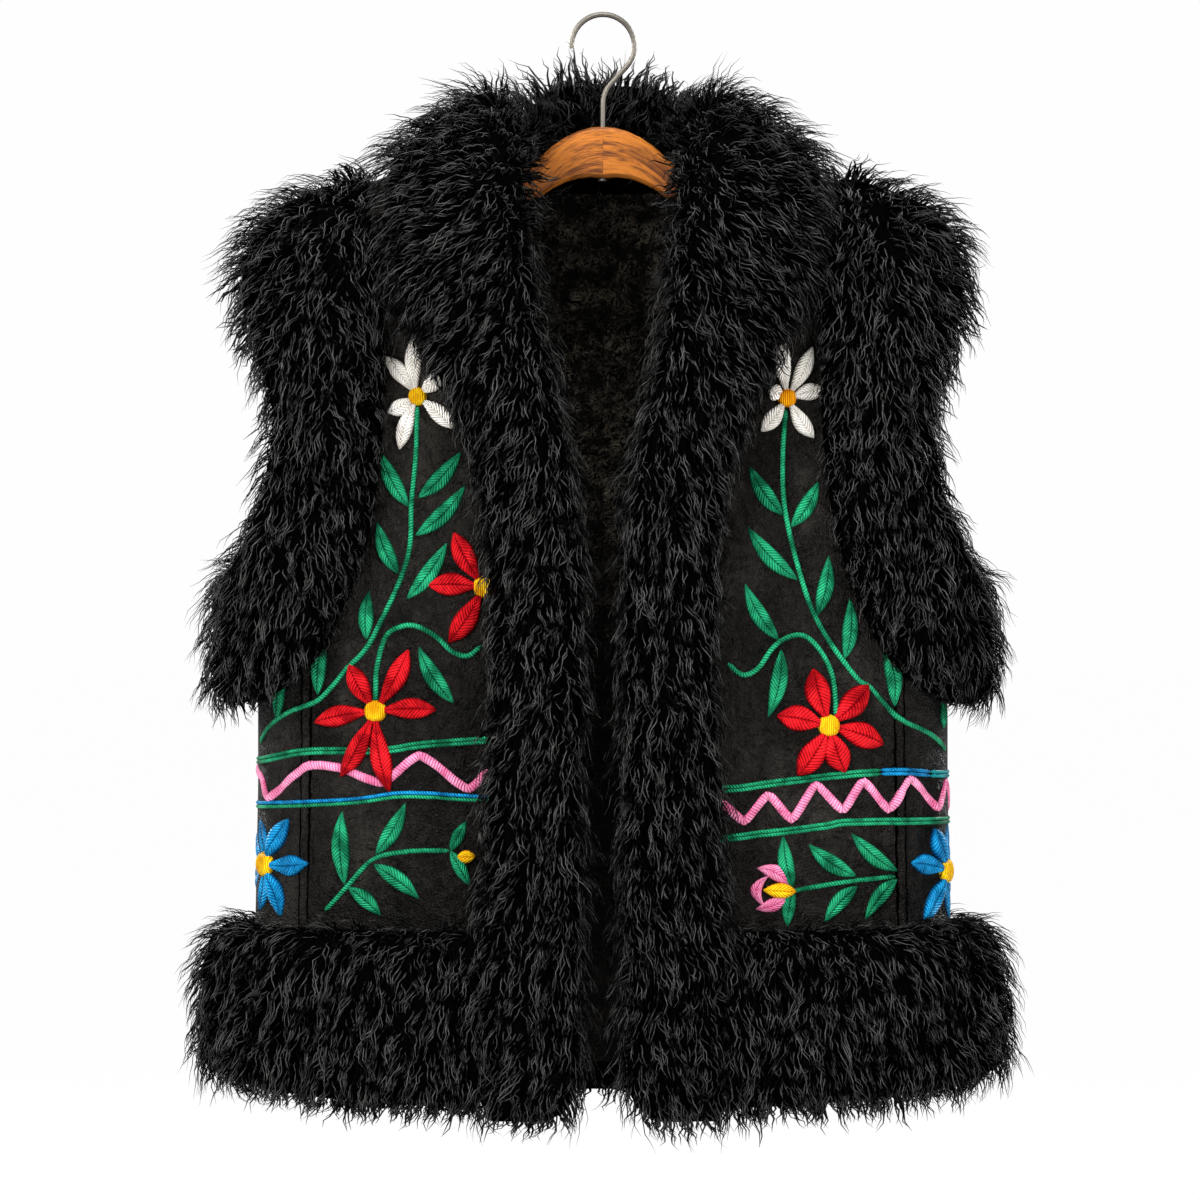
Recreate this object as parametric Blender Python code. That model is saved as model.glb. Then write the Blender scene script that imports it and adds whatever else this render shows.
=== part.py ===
"""A leather gilet edged with long curly fur, hanging open on a wooden hanger with a steel hook.

Metres, +Z up, the front towards -Y, the wearer's left towards +X. The origin is the underside of the
hook's top, where a rail bears. The body is one hollow pillow of skin, and every piece is cut from it:
a point of the pillow is an angle round the body, 0 at the front and 180 at the back, and a distance
down from the shoulder line. Negative distances run down the back.
"""

import math

import bmesh
import bpy
from mathutils import Vector

# Sizes of the body
SHOULDER_TOP_Z = -0.097
NECK_POINT_X = 0.080
SHOULDER_CURVE = 2.9
HALF_WIDTH = 0.241
HEM_FLARE = 0.005
FRONT_DEPTH = 0.080
BACK_DEPTH = 0.072
ROUNDNESS = 2.6
SHOULDER_ROUND = 0.060
SKIN = 0.006
HALF_GAP = 0.00018
HEM_SEAM_Z = -0.645
HEM_EDGE_Z = -0.738
HEM_SIDE_RISE = 0.016

# Stations shared by a seam's two pieces
ARM_STEPS = 21
CORNER_STEP = 18
SIDE_ROWS = 7
FRONT_COLUMNS = 7
BACK_COLUMNS = 8
NECK_STEPS = 10

# Sizes of the hanger
WIRE_RADIUS = 0.0019
HOOK_RADIUS = 0.0220
HOOK_START_DEG = 184
HOOK_END_DEG = -42
HOOK_STRAIGHT = 0.016
WOOD_HALF_THICKNESS = 0.0065
WOOD_TOP_Z = -0.0765
WOOD_HALF_LENGTH = 0.194
WOOD_SEAT = 0.0008
SEAT_GAP = 0.0003

# Half of the fur collar, from the front hem up over the shoulder to the middle of the back neck.
# Columns: seam_x, seam_drop, edge_x, edge_drop, lean, reach, seam_loft, edge_loft. A drop is below the
# shoulder line, and negative on the back. Lean is the fur over the leather, reach is the fur past the
# folded edge, and a loft is how far it stands off the skin.
COLLAR_BELOW = (
    (0.074, 0.673, 0.040, 0.673, 0.0010, 0.012, 0.026, 0.026),
    (0.079, 0.660, 0.029, 0.660, 0.0010, 0.018, 0.038, 0.038),
    (0.080, 0.638, 0.023, 0.638, 0.0010, 0.018, 0.045, 0.045),
    (0.080, 0.595, 0.022, 0.595, 0.0010, 0.018, 0.047, 0.047),
    (0.080, 0.548, 0.022, 0.548, 0.0010, 0.018, 0.048, 0.048),
)
COLLAR_FRONT = (
    (0.080, 0.548, 0.022, 0.548, 0.0010, 0.018, 0.048, 0.048),
    (0.078, 0.512, 0.022, 0.512, 0.0040, 0.018, 0.048, 0.048),
    (0.070, 0.460, 0.022, 0.460, 0.0170, 0.018, 0.048, 0.048),
    (0.068, 0.370, 0.022, 0.370, 0.0190, 0.018, 0.048, 0.048),
    (0.069, 0.290, 0.022, 0.290, 0.0200, 0.018, 0.048, 0.048),
    (0.078, 0.215, 0.028, 0.220, 0.0210, 0.018, 0.050, 0.050),
    (0.098, 0.150, 0.042, 0.160, 0.0220, 0.020, 0.050, 0.050),
    (0.117, 0.095, 0.057, 0.105, 0.0230, 0.024, 0.050, 0.052),
    (0.126, 0.055, 0.068, 0.060, 0.0200, 0.030, 0.046, 0.053),
    (0.129, 0.026, 0.075, 0.028, 0.0190, 0.034, 0.040, 0.054),
    (0.131, 0.007, 0.079, 0.007, 0.0190, 0.036, 0.035, 0.053),
    (0.131, 0.000, 0.080, 0.000, 0.0180, 0.037, 0.034, 0.053),
)
COLLAR_BACK = (
    (0.131, 0.000, 0.080, 0.000, 0.0180, 0.037, 0.034, 0.053),
    (0.130, -0.010, 0.079, -0.001, 0.0190, 0.039, 0.036, 0.053),
    (0.122, -0.040, 0.076, -0.007, 0.0190, 0.049, 0.041, 0.052),
    (0.098, -0.068, 0.070, -0.013, 0.0200, 0.062, 0.045, 0.047),
    (0.056, -0.083, 0.045, -0.017, 0.0200, 0.072, 0.045, 0.042),
    (0.000, -0.088, 0.000, -0.018, 0.0200, 0.075, 0.045, 0.040),
)

# Half of the armhole fur, from the shoulder tip down the front to the underarm, with the same columns.
ARMHOLE = (
    (0.178, 0.000, 0.214, 0.000, 0.0140, 0.050, 0.024, 0.032),
    (0.176, 0.012, 0.212, 0.010, 0.0140, 0.053, 0.028, 0.036),
    (0.172, 0.040, 0.208, 0.034, 0.0150, 0.057, 0.038, 0.042),
    (0.166, 0.105, 0.202, 0.090, 0.0150, 0.050, 0.046, 0.046),
    (0.165, 0.185, 0.202, 0.148, 0.0150, 0.038, 0.046, 0.046),
    (0.174, 0.270, 0.213, 0.200, 0.0160, 0.038, 0.046, 0.046),
    (0.204, 0.313, 0.232, 0.231, 0.0160, 0.038, 0.047, 0.047),
    (0.241, 0.302, 0.241, 0.236, 0.0140, 0.036, 0.045, 0.045),
)
HEM_LEAN = 0.019
HEM_REACH = 0.034
HEM_LOFT = 0.048

# Round the fur's section: the zone, how far along it, and the height as a share of the loft.
FUR_PROFILE = (
    ("lean", 1.00, 0.24),
    ("lean", 0.75, 0.60),
    ("strip", 0.05, 0.88),
    ("strip", 0.50, 1.00),
    ("strip", 1.00, 0.96),
    ("reach", 0.55, 0.80),
    ("reach", 0.90, 0.48),
    ("reach", 1.00, 0.14),
    ("reach", 0.75, -0.12),
    ("reach", 0.30, -0.15),
)
LUMP = 0.07

COLOURS = {
    "leather": ((0.012, 0.011, 0.010, 1), 0.5, 0.0),
    "fur": ((0.006, 0.006, 0.006, 1), 0.8, 0.0),
    "wood": ((0.42, 0.17, 0.05, 1), 0.4, 0.0),
    "steel": ((0.55, 0.53, 0.50, 1), 0.25, 1.0),
}


def material(name):
    made = bpy.data.materials.get(name)
    if made is None:
        colour, roughness, metallic = COLOURS[name]
        made = bpy.data.materials.new(name)
        made.use_nodes = True
        shader = made.node_tree.nodes["Principled BSDF"]
        shader.inputs["Base Color"].default_value = colour
        shader.inputs["Roughness"].default_value = roughness
        shader.inputs["Metallic"].default_value = metallic
    return made


def add_object(name, bm, finish):
    """Links the finished shape, with its faces pointing out."""
    bmesh.ops.recalc_face_normals(bm, faces=bm.faces)
    mesh = bpy.data.meshes.new(name)
    bm.to_mesh(mesh)
    bm.free()
    mesh.shade_smooth()
    mesh.materials.append(material(finish))
    made = bpy.data.objects.new(name, mesh)
    bpy.context.scene.collection.objects.link(made)
    return made


def lerp(a, b, f):
    return a + (b - a) * f


# The pillow of skin


def shoulder_z(x):
    past_neck = max(abs(x) - NECK_POINT_X, 0)
    return SHOULDER_TOP_Z - SHOULDER_CURVE * past_neck**2


def run_of(drop):
    """The distance down the skin at a height below the shoulder line, with its sign."""
    size = abs(drop)
    if size < SHOULDER_ROUND:
        run = SHOULDER_ROUND * math.acos(1 - size / SHOULDER_ROUND)
    else:
        run = SHOULDER_ROUND * math.pi / 2 + size - SHOULDER_ROUND
    return math.copysign(run, drop)


def run_at(x, z):
    return run_of(shoulder_z(x) - z)


def hem_run(angle, z):
    """The distance down to a height of the vertical lower body, where the hem flares."""
    return run_at(skin_point(angle, run_at(0, z)).x, z)


def angle_of(x):
    """The angle round the body, in degrees, of a point of the front at that x."""
    share = min(abs(x) / HALF_WIDTH, 1.0)
    return math.copysign(math.degrees(math.asin(share ** (ROUNDNESS / 2))), x)


def skin_point(angle, run):
    if run < 0:
        angle, run = 180 - angle, -run
    across, ahead = math.sin(math.radians(angle)), math.cos(math.radians(angle))
    flare = HEM_FLARE * min(max((run - 0.4) / 0.25, 0), 1)
    x = math.copysign(abs(across) ** (2 / ROUNDNESS), across) * (HALF_WIDTH + flare)
    turn = min(run / SHOULDER_ROUND, math.pi / 2)
    drop = SHOULDER_ROUND * (1 - math.cos(turn))
    drop += max(run - SHOULDER_ROUND * math.pi / 2, 0)
    depth = FRONT_DEPTH if ahead > 0 else BACK_DEPTH
    y = -depth * math.copysign(abs(ahead) ** (2 / ROUNDNESS), ahead) * math.sin(turn)
    return Vector((x, y, shoulder_z(x) - drop))


def skin_normal(angle, run):
    turn_step, run_step = 0.5, 0.0005
    along = skin_point(angle + turn_step, run) - skin_point(angle - turn_step, run)
    down = skin_point(angle, run + run_step) - skin_point(angle, run - run_step)
    return down.cross(along).normalized()


def lifted(angle, run, height):
    return skin_point(angle, run) + skin_normal(angle, run) * height


def smooth_rows(rows, steps):
    """Catmull-Rom through the rows of a table, every column at once, ends held level."""
    made = []
    last = len(rows) - 1
    for i in range(steps + 1):
        place = i / steps * last
        k = min(int(place), last - 1)
        f = place - k
        before, here = rows[max(k - 1, 0)], rows[k]
        there, after = rows[k + 1], rows[min(k + 2, last)]
        made.append(
            [
                0.5
                * (
                    2 * b
                    + (c - a) * f
                    + (2 * a - 5 * b + 4 * c - d) * f**2
                    + (3 * b - a - 3 * c + d) * f**3
                )
                for a, b, c, d in zip(before, here, there, after)
            ]
        )
    return made


def stations(table, steps):
    """Rows of seam, edge and the other columns, where seam and edge are an angle and a distance."""
    placed = [
        (angle_of(r[0]), run_of(r[1]), angle_of(r[2]), run_of(r[3]), *r[4:]) for r in table
    ]
    return [((r[0], r[1]), (r[2], r[3]), *r[4:]) for r in smooth_rows(placed, steps)]


def to_back(station):
    """The same station on the back of the body."""
    (seam_angle, seam_run), (edge_angle, edge_run), *sizes = station
    return (180 - seam_angle, seam_run), (180 - edge_angle, edge_run), *sizes


# Fur


def fur_section(station, phase):
    """The loop of points round the fur at one station of its strip."""
    seam, edge, lean, reach, seam_loft, edge_loft = station

    def place(f):
        return lerp(seam[0], edge[0], f), lerp(seam[1], edge[1], f)

    across = skin_point(*edge) - skin_point(*seam)
    width = across.length
    across.normalize()
    foot = HALF_GAP / width
    up = skin_normal(*place(0.5))
    up = (up - across * up.dot(across)).normalized()
    points = [lifted(*place(foot), 0)]
    for i, (zone, along, share) in enumerate(FUR_PROFILE):
        swell = 1 + LUMP * math.sin(phase * 1.7 + i * 2.1) * math.sin(phase * 0.63 + i)
        if zone == "lean":
            points.append(skin_point(*place(-along * lean / width)) + up * share * seam_loft)
        elif zone == "strip":
            loft = lerp(seam_loft, edge_loft, along) * share * swell
            points.append(skin_point(*place(along)) + up * loft)
        else:
            beyond = across * along * reach * swell
            points.append(skin_point(*edge) + up * share * edge_loft * swell + beyond)
    points += [lifted(*place(f), -SKIN) for f in (1.0, 0.5, foot)]
    return points


def loop_solid(name, sections, finish, closed=False, mirror=False):
    """Joins loops of points into one closed solid, with flat ends unless it is a ring."""
    bm = bmesh.new()
    hand = -1 if mirror else 1
    rings = [[bm.verts.new((p.x * hand, p.y, p.z)) for p in section] for section in sections]
    pairs = list(zip(rings, rings[1:]))
    if closed:
        pairs.append((rings[-1], rings[0]))
    for a, b in pairs:
        for i in range(len(a)):
            j = (i + 1) % len(a)
            bm.faces.new((a[i], a[j], b[j], b[i]))
    if not closed:
        bm.faces.new(rings[0])
        bm.faces.new(rings[-1])
        bmesh.ops.triangulate(bm, faces=[f for f in bm.faces if len(f.verts) > 4])
    return add_object(name, bm, finish)


def make_collar(collar, hand_name, mirror):
    sections = [fur_section(station, i) for i, station in enumerate(collar)]
    for point in sections[-1]:
        point.x = HALF_GAP
    loop_solid(f"collar_fur_{hand_name}", sections, "fur", mirror=mirror)


def make_armhole(ring, hand_name, mirror):
    sections = [fur_section(station, i * 1.3) for i, station in enumerate(ring)]
    loop_solid(f"armhole_fur_{hand_name}", sections, "fur", closed=True, mirror=mirror)


def hem_station(angle):
    edge_z = HEM_EDGE_Z + HEM_SIDE_RISE * math.sin(math.radians(angle)) ** 2
    seam, edge = (angle, hem_run(angle, HEM_SEAM_Z)), (angle, hem_run(angle, edge_z))
    return seam, edge, HEM_LEAN, HEM_REACH, HEM_LOFT, HEM_LOFT


def make_hem(name, angles, mirror=False):
    sections = [fur_section(hem_station(a), a * 0.11) for a in angles]
    loop_solid(name, sections, "fur", mirror=mirror)


# Leather


def angle_across(near, far, f):
    """The angle that goes evenly in x from one angle to another on the same half, front or back."""
    shares = [math.sin(math.radians(a)) ** (2 / ROUNDNESS) for a in (near, far)]
    found = math.degrees(math.asin(min(lerp(*shares, f), 1) ** (ROUNDNESS / 2)))
    return found if far <= 90 else 180 - found


def between(near, far, f, level):
    """A place between two, from evenly down the shoulder at level 0 to evenly in height at level 1."""
    angle, run = angle_across(near[0], far[0], f), lerp(near[1], far[1], f)
    height = lerp(skin_point(*near).z, skin_point(*far).z, f)
    return angle, lerp(run, run_at(skin_point(angle, run).x, height), level)


def make_panel(name, rows, columns, mirror=False, round_side=False):
    """A wall of skin whose rows run from one seam to the other. Each row is a pair of places."""
    bm = bmesh.new()
    hand = -1 if mirror else 1
    outer, inner = [], []
    for k, (near, far) in enumerate(rows):
        long = (skin_point(*far) - skin_point(*near)).length
        inset = HALF_GAP / long
        out_row, in_row = [], []
        for i in range(columns + 1):
            f = lerp(inset, 1 - inset, i / columns)
            if round_side:
                place = lerp(near[0], far[0], f), lerp(near[1], far[1], f)
            else:
                place = between(near, far, f, k / (len(rows) - 1))
            for row, height in ((out_row, 0), (in_row, -SKIN)):
                p = lifted(*place, height)
                row.append(bm.verts.new((p.x * hand, p.y, p.z)))
        outer.append(out_row)
        inner.append(in_row)
    for grid in (outer, inner):
        for a, b in zip(grid, grid[1:]):
            for i in range(columns):
                bm.faces.new((a[i], a[i + 1], b[i + 1], b[i]))
    rims = []
    for grid in (outer, inner):
        down_far = [row[-1] for row in grid[1:-1]]
        up_near = [row[0] for row in grid[-2:0:-1]]
        rims.append(grid[0] + down_far + grid[-1][::-1] + up_near)
    around = list(zip(*rims))
    for (a, b), (c, d) in zip(around, around[1:] + around[:1]):
        bm.faces.new((a, c, d, b))
    return add_object(name, bm, "leather")


def down_to_hem(place, steps):
    """Places from one place of a side seam straight down to the hem seam."""
    angle, top = place
    bottom = hem_run(angle, HEM_SEAM_Z) - HALF_GAP
    return [(angle, lerp(top, bottom, i / steps)) for i in range(steps + 1)]


def off_shoulder(place):
    """Moves a place on the shoulder line down by half a seam's gap."""
    angle, run = place
    return angle, run + HALF_GAP


def make_leather(collar_front, collar_back, arm, hand_name, mirror):
    arm_seam = [station[0] for station in arm]
    side_seam = down_to_hem(arm_seam[CORNER_STEP], SIDE_ROWS)
    outer = arm_seam[:CORNER_STEP] + side_seam
    outer[0] = off_shoulder(outer[0])
    inner = [station[0] for station in collar_front]
    inner[0] = off_shoulder(inner[0])
    inner[-1] = (inner[-1][0], inner[-1][1] - HALF_GAP)
    make_panel(f"front_{hand_name}", list(zip(inner, outer)), FRONT_COLUMNS, mirror)

    neck = [(180 - a, -r) for (a, r) in (station[0] for station in collar_back)]
    neck[0] = off_shoulder(neck[0])
    middle = down_to_hem((180, neck[-1][1]), len(outer) - len(neck))
    back_outer = [(180 - a, r) for a, r in outer]
    make_panel(
        f"back_{hand_name}", list(zip(neck + middle[1:], back_outer)), BACK_COLUMNS, mirror
    )

    under = arm_seam[CORNER_STEP:]
    under = under + [(180 - a, r) for a, r in under[-2::-1]]
    columns = [down_to_hem(place, SIDE_ROWS) for place in under]
    degree = (skin_point(under[0][0] + 1, under[0][1]) - skin_point(*under[0])).length
    columns[0] = [(a + HALF_GAP / degree, r) for a, r in columns[0]]
    columns[-1] = [(a - HALF_GAP / degree, r) for a, r in columns[-1]]
    make_panel(f"side_{hand_name}", [(c[0], c[-1]) for c in columns], SIDE_ROWS, mirror, True)
    return inner, outer, under


# The hanger


def wood_top_z(x):
    """The wood's top edge: an arch in the neck, then just under the skin of the shoulders."""
    arch = WOOD_TOP_Z - 11.0 * x * x
    slope = 2 * SHOULDER_CURVE * max(abs(x) - NECK_POINT_X, 0)
    under_skin = shoulder_z(x) - (SKIN + WOOD_SEAT) * math.hypot(1, slope)
    return max(arch, under_skin) if abs(x) < 0.052 else under_skin


def rounded_bar(tall):
    """Half width, depth below the top and side of each corner of the wood's section, in order."""
    half = WOOD_HALF_THICKNESS
    corners = ((0, 0), (0.6 * half, 0.0011), (half, 0.0034))
    corners += ((half, tall - 0.0024), (0.6 * half, tall - 0.0006))
    front = [(y, down, -1) for y, down in corners]
    back = [(y, down, 1) for y, down in corners[:0:-1]]
    return front + [(0, tall, 1)] + back


def make_wood():
    steps = 44
    sections = []
    for i in range(steps + 1):
        x = lerp(-WOOD_HALF_LENGTH, WOOD_HALF_LENGTH, i / steps)
        share = abs(x) / WOOD_HALF_LENGTH
        top = wood_top_z(x)
        tall = lerp(0.0365, 0.0200, min(share * 2.2, 1))
        if share > 0.94:
            tall *= 1 - 8 * (share - 0.94)
        sections.append([Vector((x, y * side, top - down)) for y, down, side in rounded_bar(tall)])
    wood = loop_solid("hanger_wood", sections, "wood")
    bpy.ops.mesh.primitive_cylinder_add(
        vertices=12, radius=WIRE_RADIUS + SEAT_GAP, depth=0.08, location=(0, 0, WOOD_TOP_Z)
    )
    drill = bpy.context.object
    drill.name = "hook_drill"
    drill.hide_render = True
    drill.display_type = "WIRE"
    cut = wood.modifiers.new("hook hole", "BOOLEAN")
    cut.operation = "DIFFERENCE"
    cut.solver = "EXACT"
    cut.object = drill


def hook_path():
    """The wire's middle line: an open circle, a straight run and a bend into the upright shank."""
    centre_z = WIRE_RADIUS - HOOK_RADIUS
    points = []
    for i in range(25):
        a = math.radians(lerp(HOOK_START_DEG, HOOK_END_DEG, i / 24))
        points.append(Vector((HOOK_RADIUS * math.cos(a), 0, centre_z + HOOK_RADIUS * math.sin(a))))
    lean = math.radians(-HOOK_END_DEG)
    start = points[-1] + Vector((-math.sin(lean), 0, -math.cos(lean))) * HOOK_STRAIGHT
    bend_radius = start.x / (1 - math.cos(lean))
    for i in range(7):
        a = lean * (1 - i / 6)
        across = bend_radius * (1 - math.cos(a))
        fall = bend_radius * (math.sin(lean) - math.sin(a))
        points.append(Vector((across, 0, start.z - fall)))
    points.append(Vector((0, 0, WOOD_TOP_Z - 0.0365)))
    return points


def make_hook():
    curve = bpy.data.curves.new("hanger_hook", "CURVE")
    curve.dimensions = "3D"
    curve.bevel_depth = WIRE_RADIUS
    curve.bevel_resolution = 2
    curve.use_fill_caps = True
    points = hook_path()
    spline = curve.splines.new("POLY")
    spline.points.add(len(points) - 1)
    for made, point in zip(spline.points, points):
        made.co = (*point, 1)
    curve.materials.append(material("steel"))
    hook = bpy.data.objects.new("hanger_hook", curve)
    bpy.context.scene.collection.objects.link(hook)
    bpy.ops.mesh.primitive_cylinder_add(
        vertices=12,
        radius=WIRE_RADIUS * 1.7,
        depth=0.0016,
        location=(0, 0, WOOD_TOP_Z - 0.0365 - SEAT_GAP - 0.0008),
    )
    head = bpy.context.object
    head.name = "hook_head"
    head.data.materials.append(material("steel"))


def main():
    for old in list(bpy.data.objects):
        bpy.data.objects.remove(old)
    arm = stations(ARMHOLE, ARM_STEPS)
    rows = CORNER_STEP + SIDE_ROWS
    collar_front = stations(COLLAR_FRONT, rows)[::-1]
    collar_back = stations(COLLAR_BACK, NECK_STEPS)
    collar_below = stations(COLLAR_BELOW, 5)
    collar = collar_below[:-1] + collar_front[::-1] + collar_back[1:]
    ring = arm + [to_back(s) for s in arm[-2:0:-1]]
    for hand_name, mirror in (("right", True), ("left", False)):
        make_collar(collar, hand_name, mirror)
        make_armhole(ring, hand_name, mirror)
        inner, outer, under = make_leather(collar_front, collar_back, arm, hand_name, mirror)
        corner = outer[-1][0]
        start = inner[-1][0] + 0.45
        front = [angle_across(start, corner, i / FRONT_COLUMNS) for i in range(FRONT_COLUMNS + 1)]
        side = [a for a, _ in under]
        make_hem(f"hem_fur_{hand_name}", front + side[1:-1] + [180 - corner - 0.06], mirror)
    half = [angle_across(180, 180 - corner, i / BACK_COLUMNS) for i in range(BACK_COLUMNS)]
    half.append(180 - corner + 0.06)
    make_hem("hem_fur_back", [-a for a in half[::-1]] + half[1:])
    make_wood()
    make_hook()


main()
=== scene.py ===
# %% [markdown]
# # A fur-edged leather gilet on a wooden hanger
# The gilet is sheepskin: black leather outside, dark wool inside, with strips of long curly fur sewn
# along every edge and flowers embroidered on both fronts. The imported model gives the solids. This
# script dresses them: leather with creases and seams, satin-stitch flowers, a woolly lining, tens of
# thousands of fur locks, varnished wood and a steel hook.

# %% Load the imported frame
import math

import bmesh
import bpy
import numpy as np
from mathutils import Matrix, Vector


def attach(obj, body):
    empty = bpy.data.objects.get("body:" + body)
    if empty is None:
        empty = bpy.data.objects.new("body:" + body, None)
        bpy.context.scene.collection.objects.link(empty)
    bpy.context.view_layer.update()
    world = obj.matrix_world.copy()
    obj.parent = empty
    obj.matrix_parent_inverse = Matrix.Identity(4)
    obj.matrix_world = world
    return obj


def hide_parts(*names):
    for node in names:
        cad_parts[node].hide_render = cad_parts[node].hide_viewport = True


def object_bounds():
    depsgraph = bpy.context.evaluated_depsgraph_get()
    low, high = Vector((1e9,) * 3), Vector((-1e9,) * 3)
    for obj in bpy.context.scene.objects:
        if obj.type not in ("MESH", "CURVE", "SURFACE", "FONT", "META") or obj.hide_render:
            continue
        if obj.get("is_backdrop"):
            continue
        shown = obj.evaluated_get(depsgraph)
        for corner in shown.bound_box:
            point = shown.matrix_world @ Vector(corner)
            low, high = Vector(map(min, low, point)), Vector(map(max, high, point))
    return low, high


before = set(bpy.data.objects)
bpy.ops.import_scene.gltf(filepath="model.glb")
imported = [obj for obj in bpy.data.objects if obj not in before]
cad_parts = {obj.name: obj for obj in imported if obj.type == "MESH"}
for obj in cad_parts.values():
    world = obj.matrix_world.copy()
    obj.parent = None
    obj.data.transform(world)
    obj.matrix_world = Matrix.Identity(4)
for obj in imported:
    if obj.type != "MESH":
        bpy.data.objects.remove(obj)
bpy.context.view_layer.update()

# %% [markdown]
# ## Camera, light and floor
# A garment photographed on white needs two things that pull apart: a white ground, and black fur that
# stays black. The sky is therefore white only where the camera sees it, and dim where it lights the
# fur. Soft boxes from the front and sides then draw the hair.

# %% Camera at the photo's angle
CAMERA_DISTANCE = 3.0
CAMERA_HEIGHT = -0.408
CAMERA_ACROSS = -0.002
FRAME_WIDTH = 0.840
SENSOR = 36

camera_data = bpy.data.cameras.new("camera")
camera_data.sensor_width = SENSOR
camera_data.lens = SENSOR * CAMERA_DISTANCE / FRAME_WIDTH
camera = bpy.data.objects.new("camera", camera_data)
camera.location = (CAMERA_ACROSS, -CAMERA_DISTANCE, CAMERA_HEIGHT)
camera.rotation_euler = (math.pi / 2, 0, 0)
bpy.context.scene.collection.objects.link(camera)
bpy.context.scene.camera = camera
bpy.context.scene.view_settings.view_transform = "Standard"
print("lens", round(camera_data.lens, 1), "mm")

# %% Small helpers that build node trees
def feed(tree, socket, value):
    """Links an output to a socket, or sets a plain value on it."""
    if isinstance(value, bpy.types.NodeSocket):
        tree.links.new(value, socket)
    elif value is not None:
        socket.default_value = value


def add(tree, kind, *values, **settings):
    """Adds a node, sets its choices, and feeds its shown inputs in their order."""
    node = tree.nodes.new(kind)
    for name, value in settings.items():
        setattr(node, name, value)
    for socket, value in zip([s for s in node.inputs if s.enabled], values):
        feed(tree, socket, value)
    return node


def calc(tree, operation, *values):
    return add(tree, "ShaderNodeMath", *values, operation=operation).outputs[0]


def vector(tree, operation, *values):
    node = add(tree, "ShaderNodeVectorMath", *values, operation=operation)
    return next(s for s in node.outputs if s.enabled)


def run_tree(source, tree, values):
    """Runs a node tree on an object and returns the plain mesh that it makes."""
    modifier = source.modifiers.new("grow", "NODES")
    modifier.node_group = tree
    for item in tree.interface.items_tree:
        if item.in_out == "INPUT" and item.name in values:
            modifier[item.identifier] = values[item.name]
    evaluated = source.evaluated_get(bpy.context.evaluated_depsgraph_get())
    mesh = bpy.data.meshes.new_from_object(evaluated)
    source.modifiers.remove(modifier)
    return mesh


# %% Sky, soft boxes and floor
SKY_SEEN = 0.99
SKY_LIGHT = 0.10
FLOOR_Z = -1.05
FLOOR_RADIUS = 40
FLOOR_GREY = (0.72, 0.72, 0.72, 1)
FLOOR_SEEN = 0.985

world = bpy.data.worlds.new("studio")
bpy.context.scene.world = world
world.use_nodes = True
sky = world.node_tree
sky.nodes.clear()
ray = add(sky, "ShaderNodeLightPath")
lit = add(sky, "ShaderNodeBackground", (1, 1, 1, 1), SKY_LIGHT)
seen = add(sky, "ShaderNodeBackground", (1, 1, 1, 1), SKY_SEEN)
both = add(sky, "ShaderNodeMixShader", ray.outputs["Is Camera Ray"], lit.outputs[0], seen.outputs[0])
add(sky, "ShaderNodeOutputWorld", both.outputs[0])

# Each soft box: place, size in metres, power in watts. All point at the middle of the garment.
SOFT_BOXES = {
    "key": ((-1.7, -2.3, 1.0), 1.1, 132.0),
    "fill": ((1.9, -2.2, 0.3), 1.2, 80.0),
    "top": ((0.0, -0.6, 1.6), 1.0, 60.0),
    "back_left": ((-1.6, 1.6, 0.6), 0.9, 62.0),
    "back_right": ((1.6, 1.6, 0.6), 0.9, 62.0),
}
LIGHTS_AIM = Vector((0, 0, -0.4))
for name, (place, size, power) in SOFT_BOXES.items():
    light = bpy.data.lights.new(name, "AREA")
    light.size = size
    light.energy = power
    lamp = bpy.data.objects.new(name, light)
    lamp.location = place
    lamp.rotation_euler = (LIGHTS_AIM - Vector(place)).to_track_quat("-Z", "Y").to_euler()
    bpy.context.scene.collection.objects.link(lamp)

bm = bmesh.new()
bmesh.ops.create_circle(bm, cap_ends=True, radius=FLOOR_RADIUS, segments=64)
floor_mesh = bpy.data.meshes.new("floor")
bm.to_mesh(floor_mesh)
bm.free()
floor_mesh.transform(Matrix.Translation((0, 0, FLOOR_Z)))
floor = bpy.data.objects.new("floor", floor_mesh)
bpy.context.scene.collection.objects.link(floor)
pale = bpy.data.materials.new("pale_floor")
pale.use_nodes = True
tree = pale.node_tree
shader = tree.nodes["Principled BSDF"]
shader.inputs["Base Color"].default_value = FLOOR_GREY
shader.inputs["Roughness"].default_value = 0.9
ray = add(tree, "ShaderNodeLightPath")
glow = add(tree, "ShaderNodeEmission", (1, 1, 1, 1), 1.0)
floor_seen = calc(tree, "MULTIPLY", ray.outputs["Is Camera Ray"], FLOOR_SEEN)
mixed = add(tree, "ShaderNodeMixShader", floor_seen, shader.outputs[0], glow.outputs[0])
tree.links.new(mixed.outputs[0], tree.nodes["Material Output"].inputs["Surface"])
floor_mesh.materials.append(pale)
floor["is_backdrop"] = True
print("soft boxes", len(SOFT_BOXES))

# %% [markdown]
# ## The body's surface
# Every piece of the gilet lies on one shape: a flat pillow that hangs from the shoulder line. A place
# on it is an angle round the body, 0 at the front and 180 at the back, and a distance down from the
# shoulder. The same few sizes drive the solids, so leather, fur and flowers all land on them.

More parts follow.
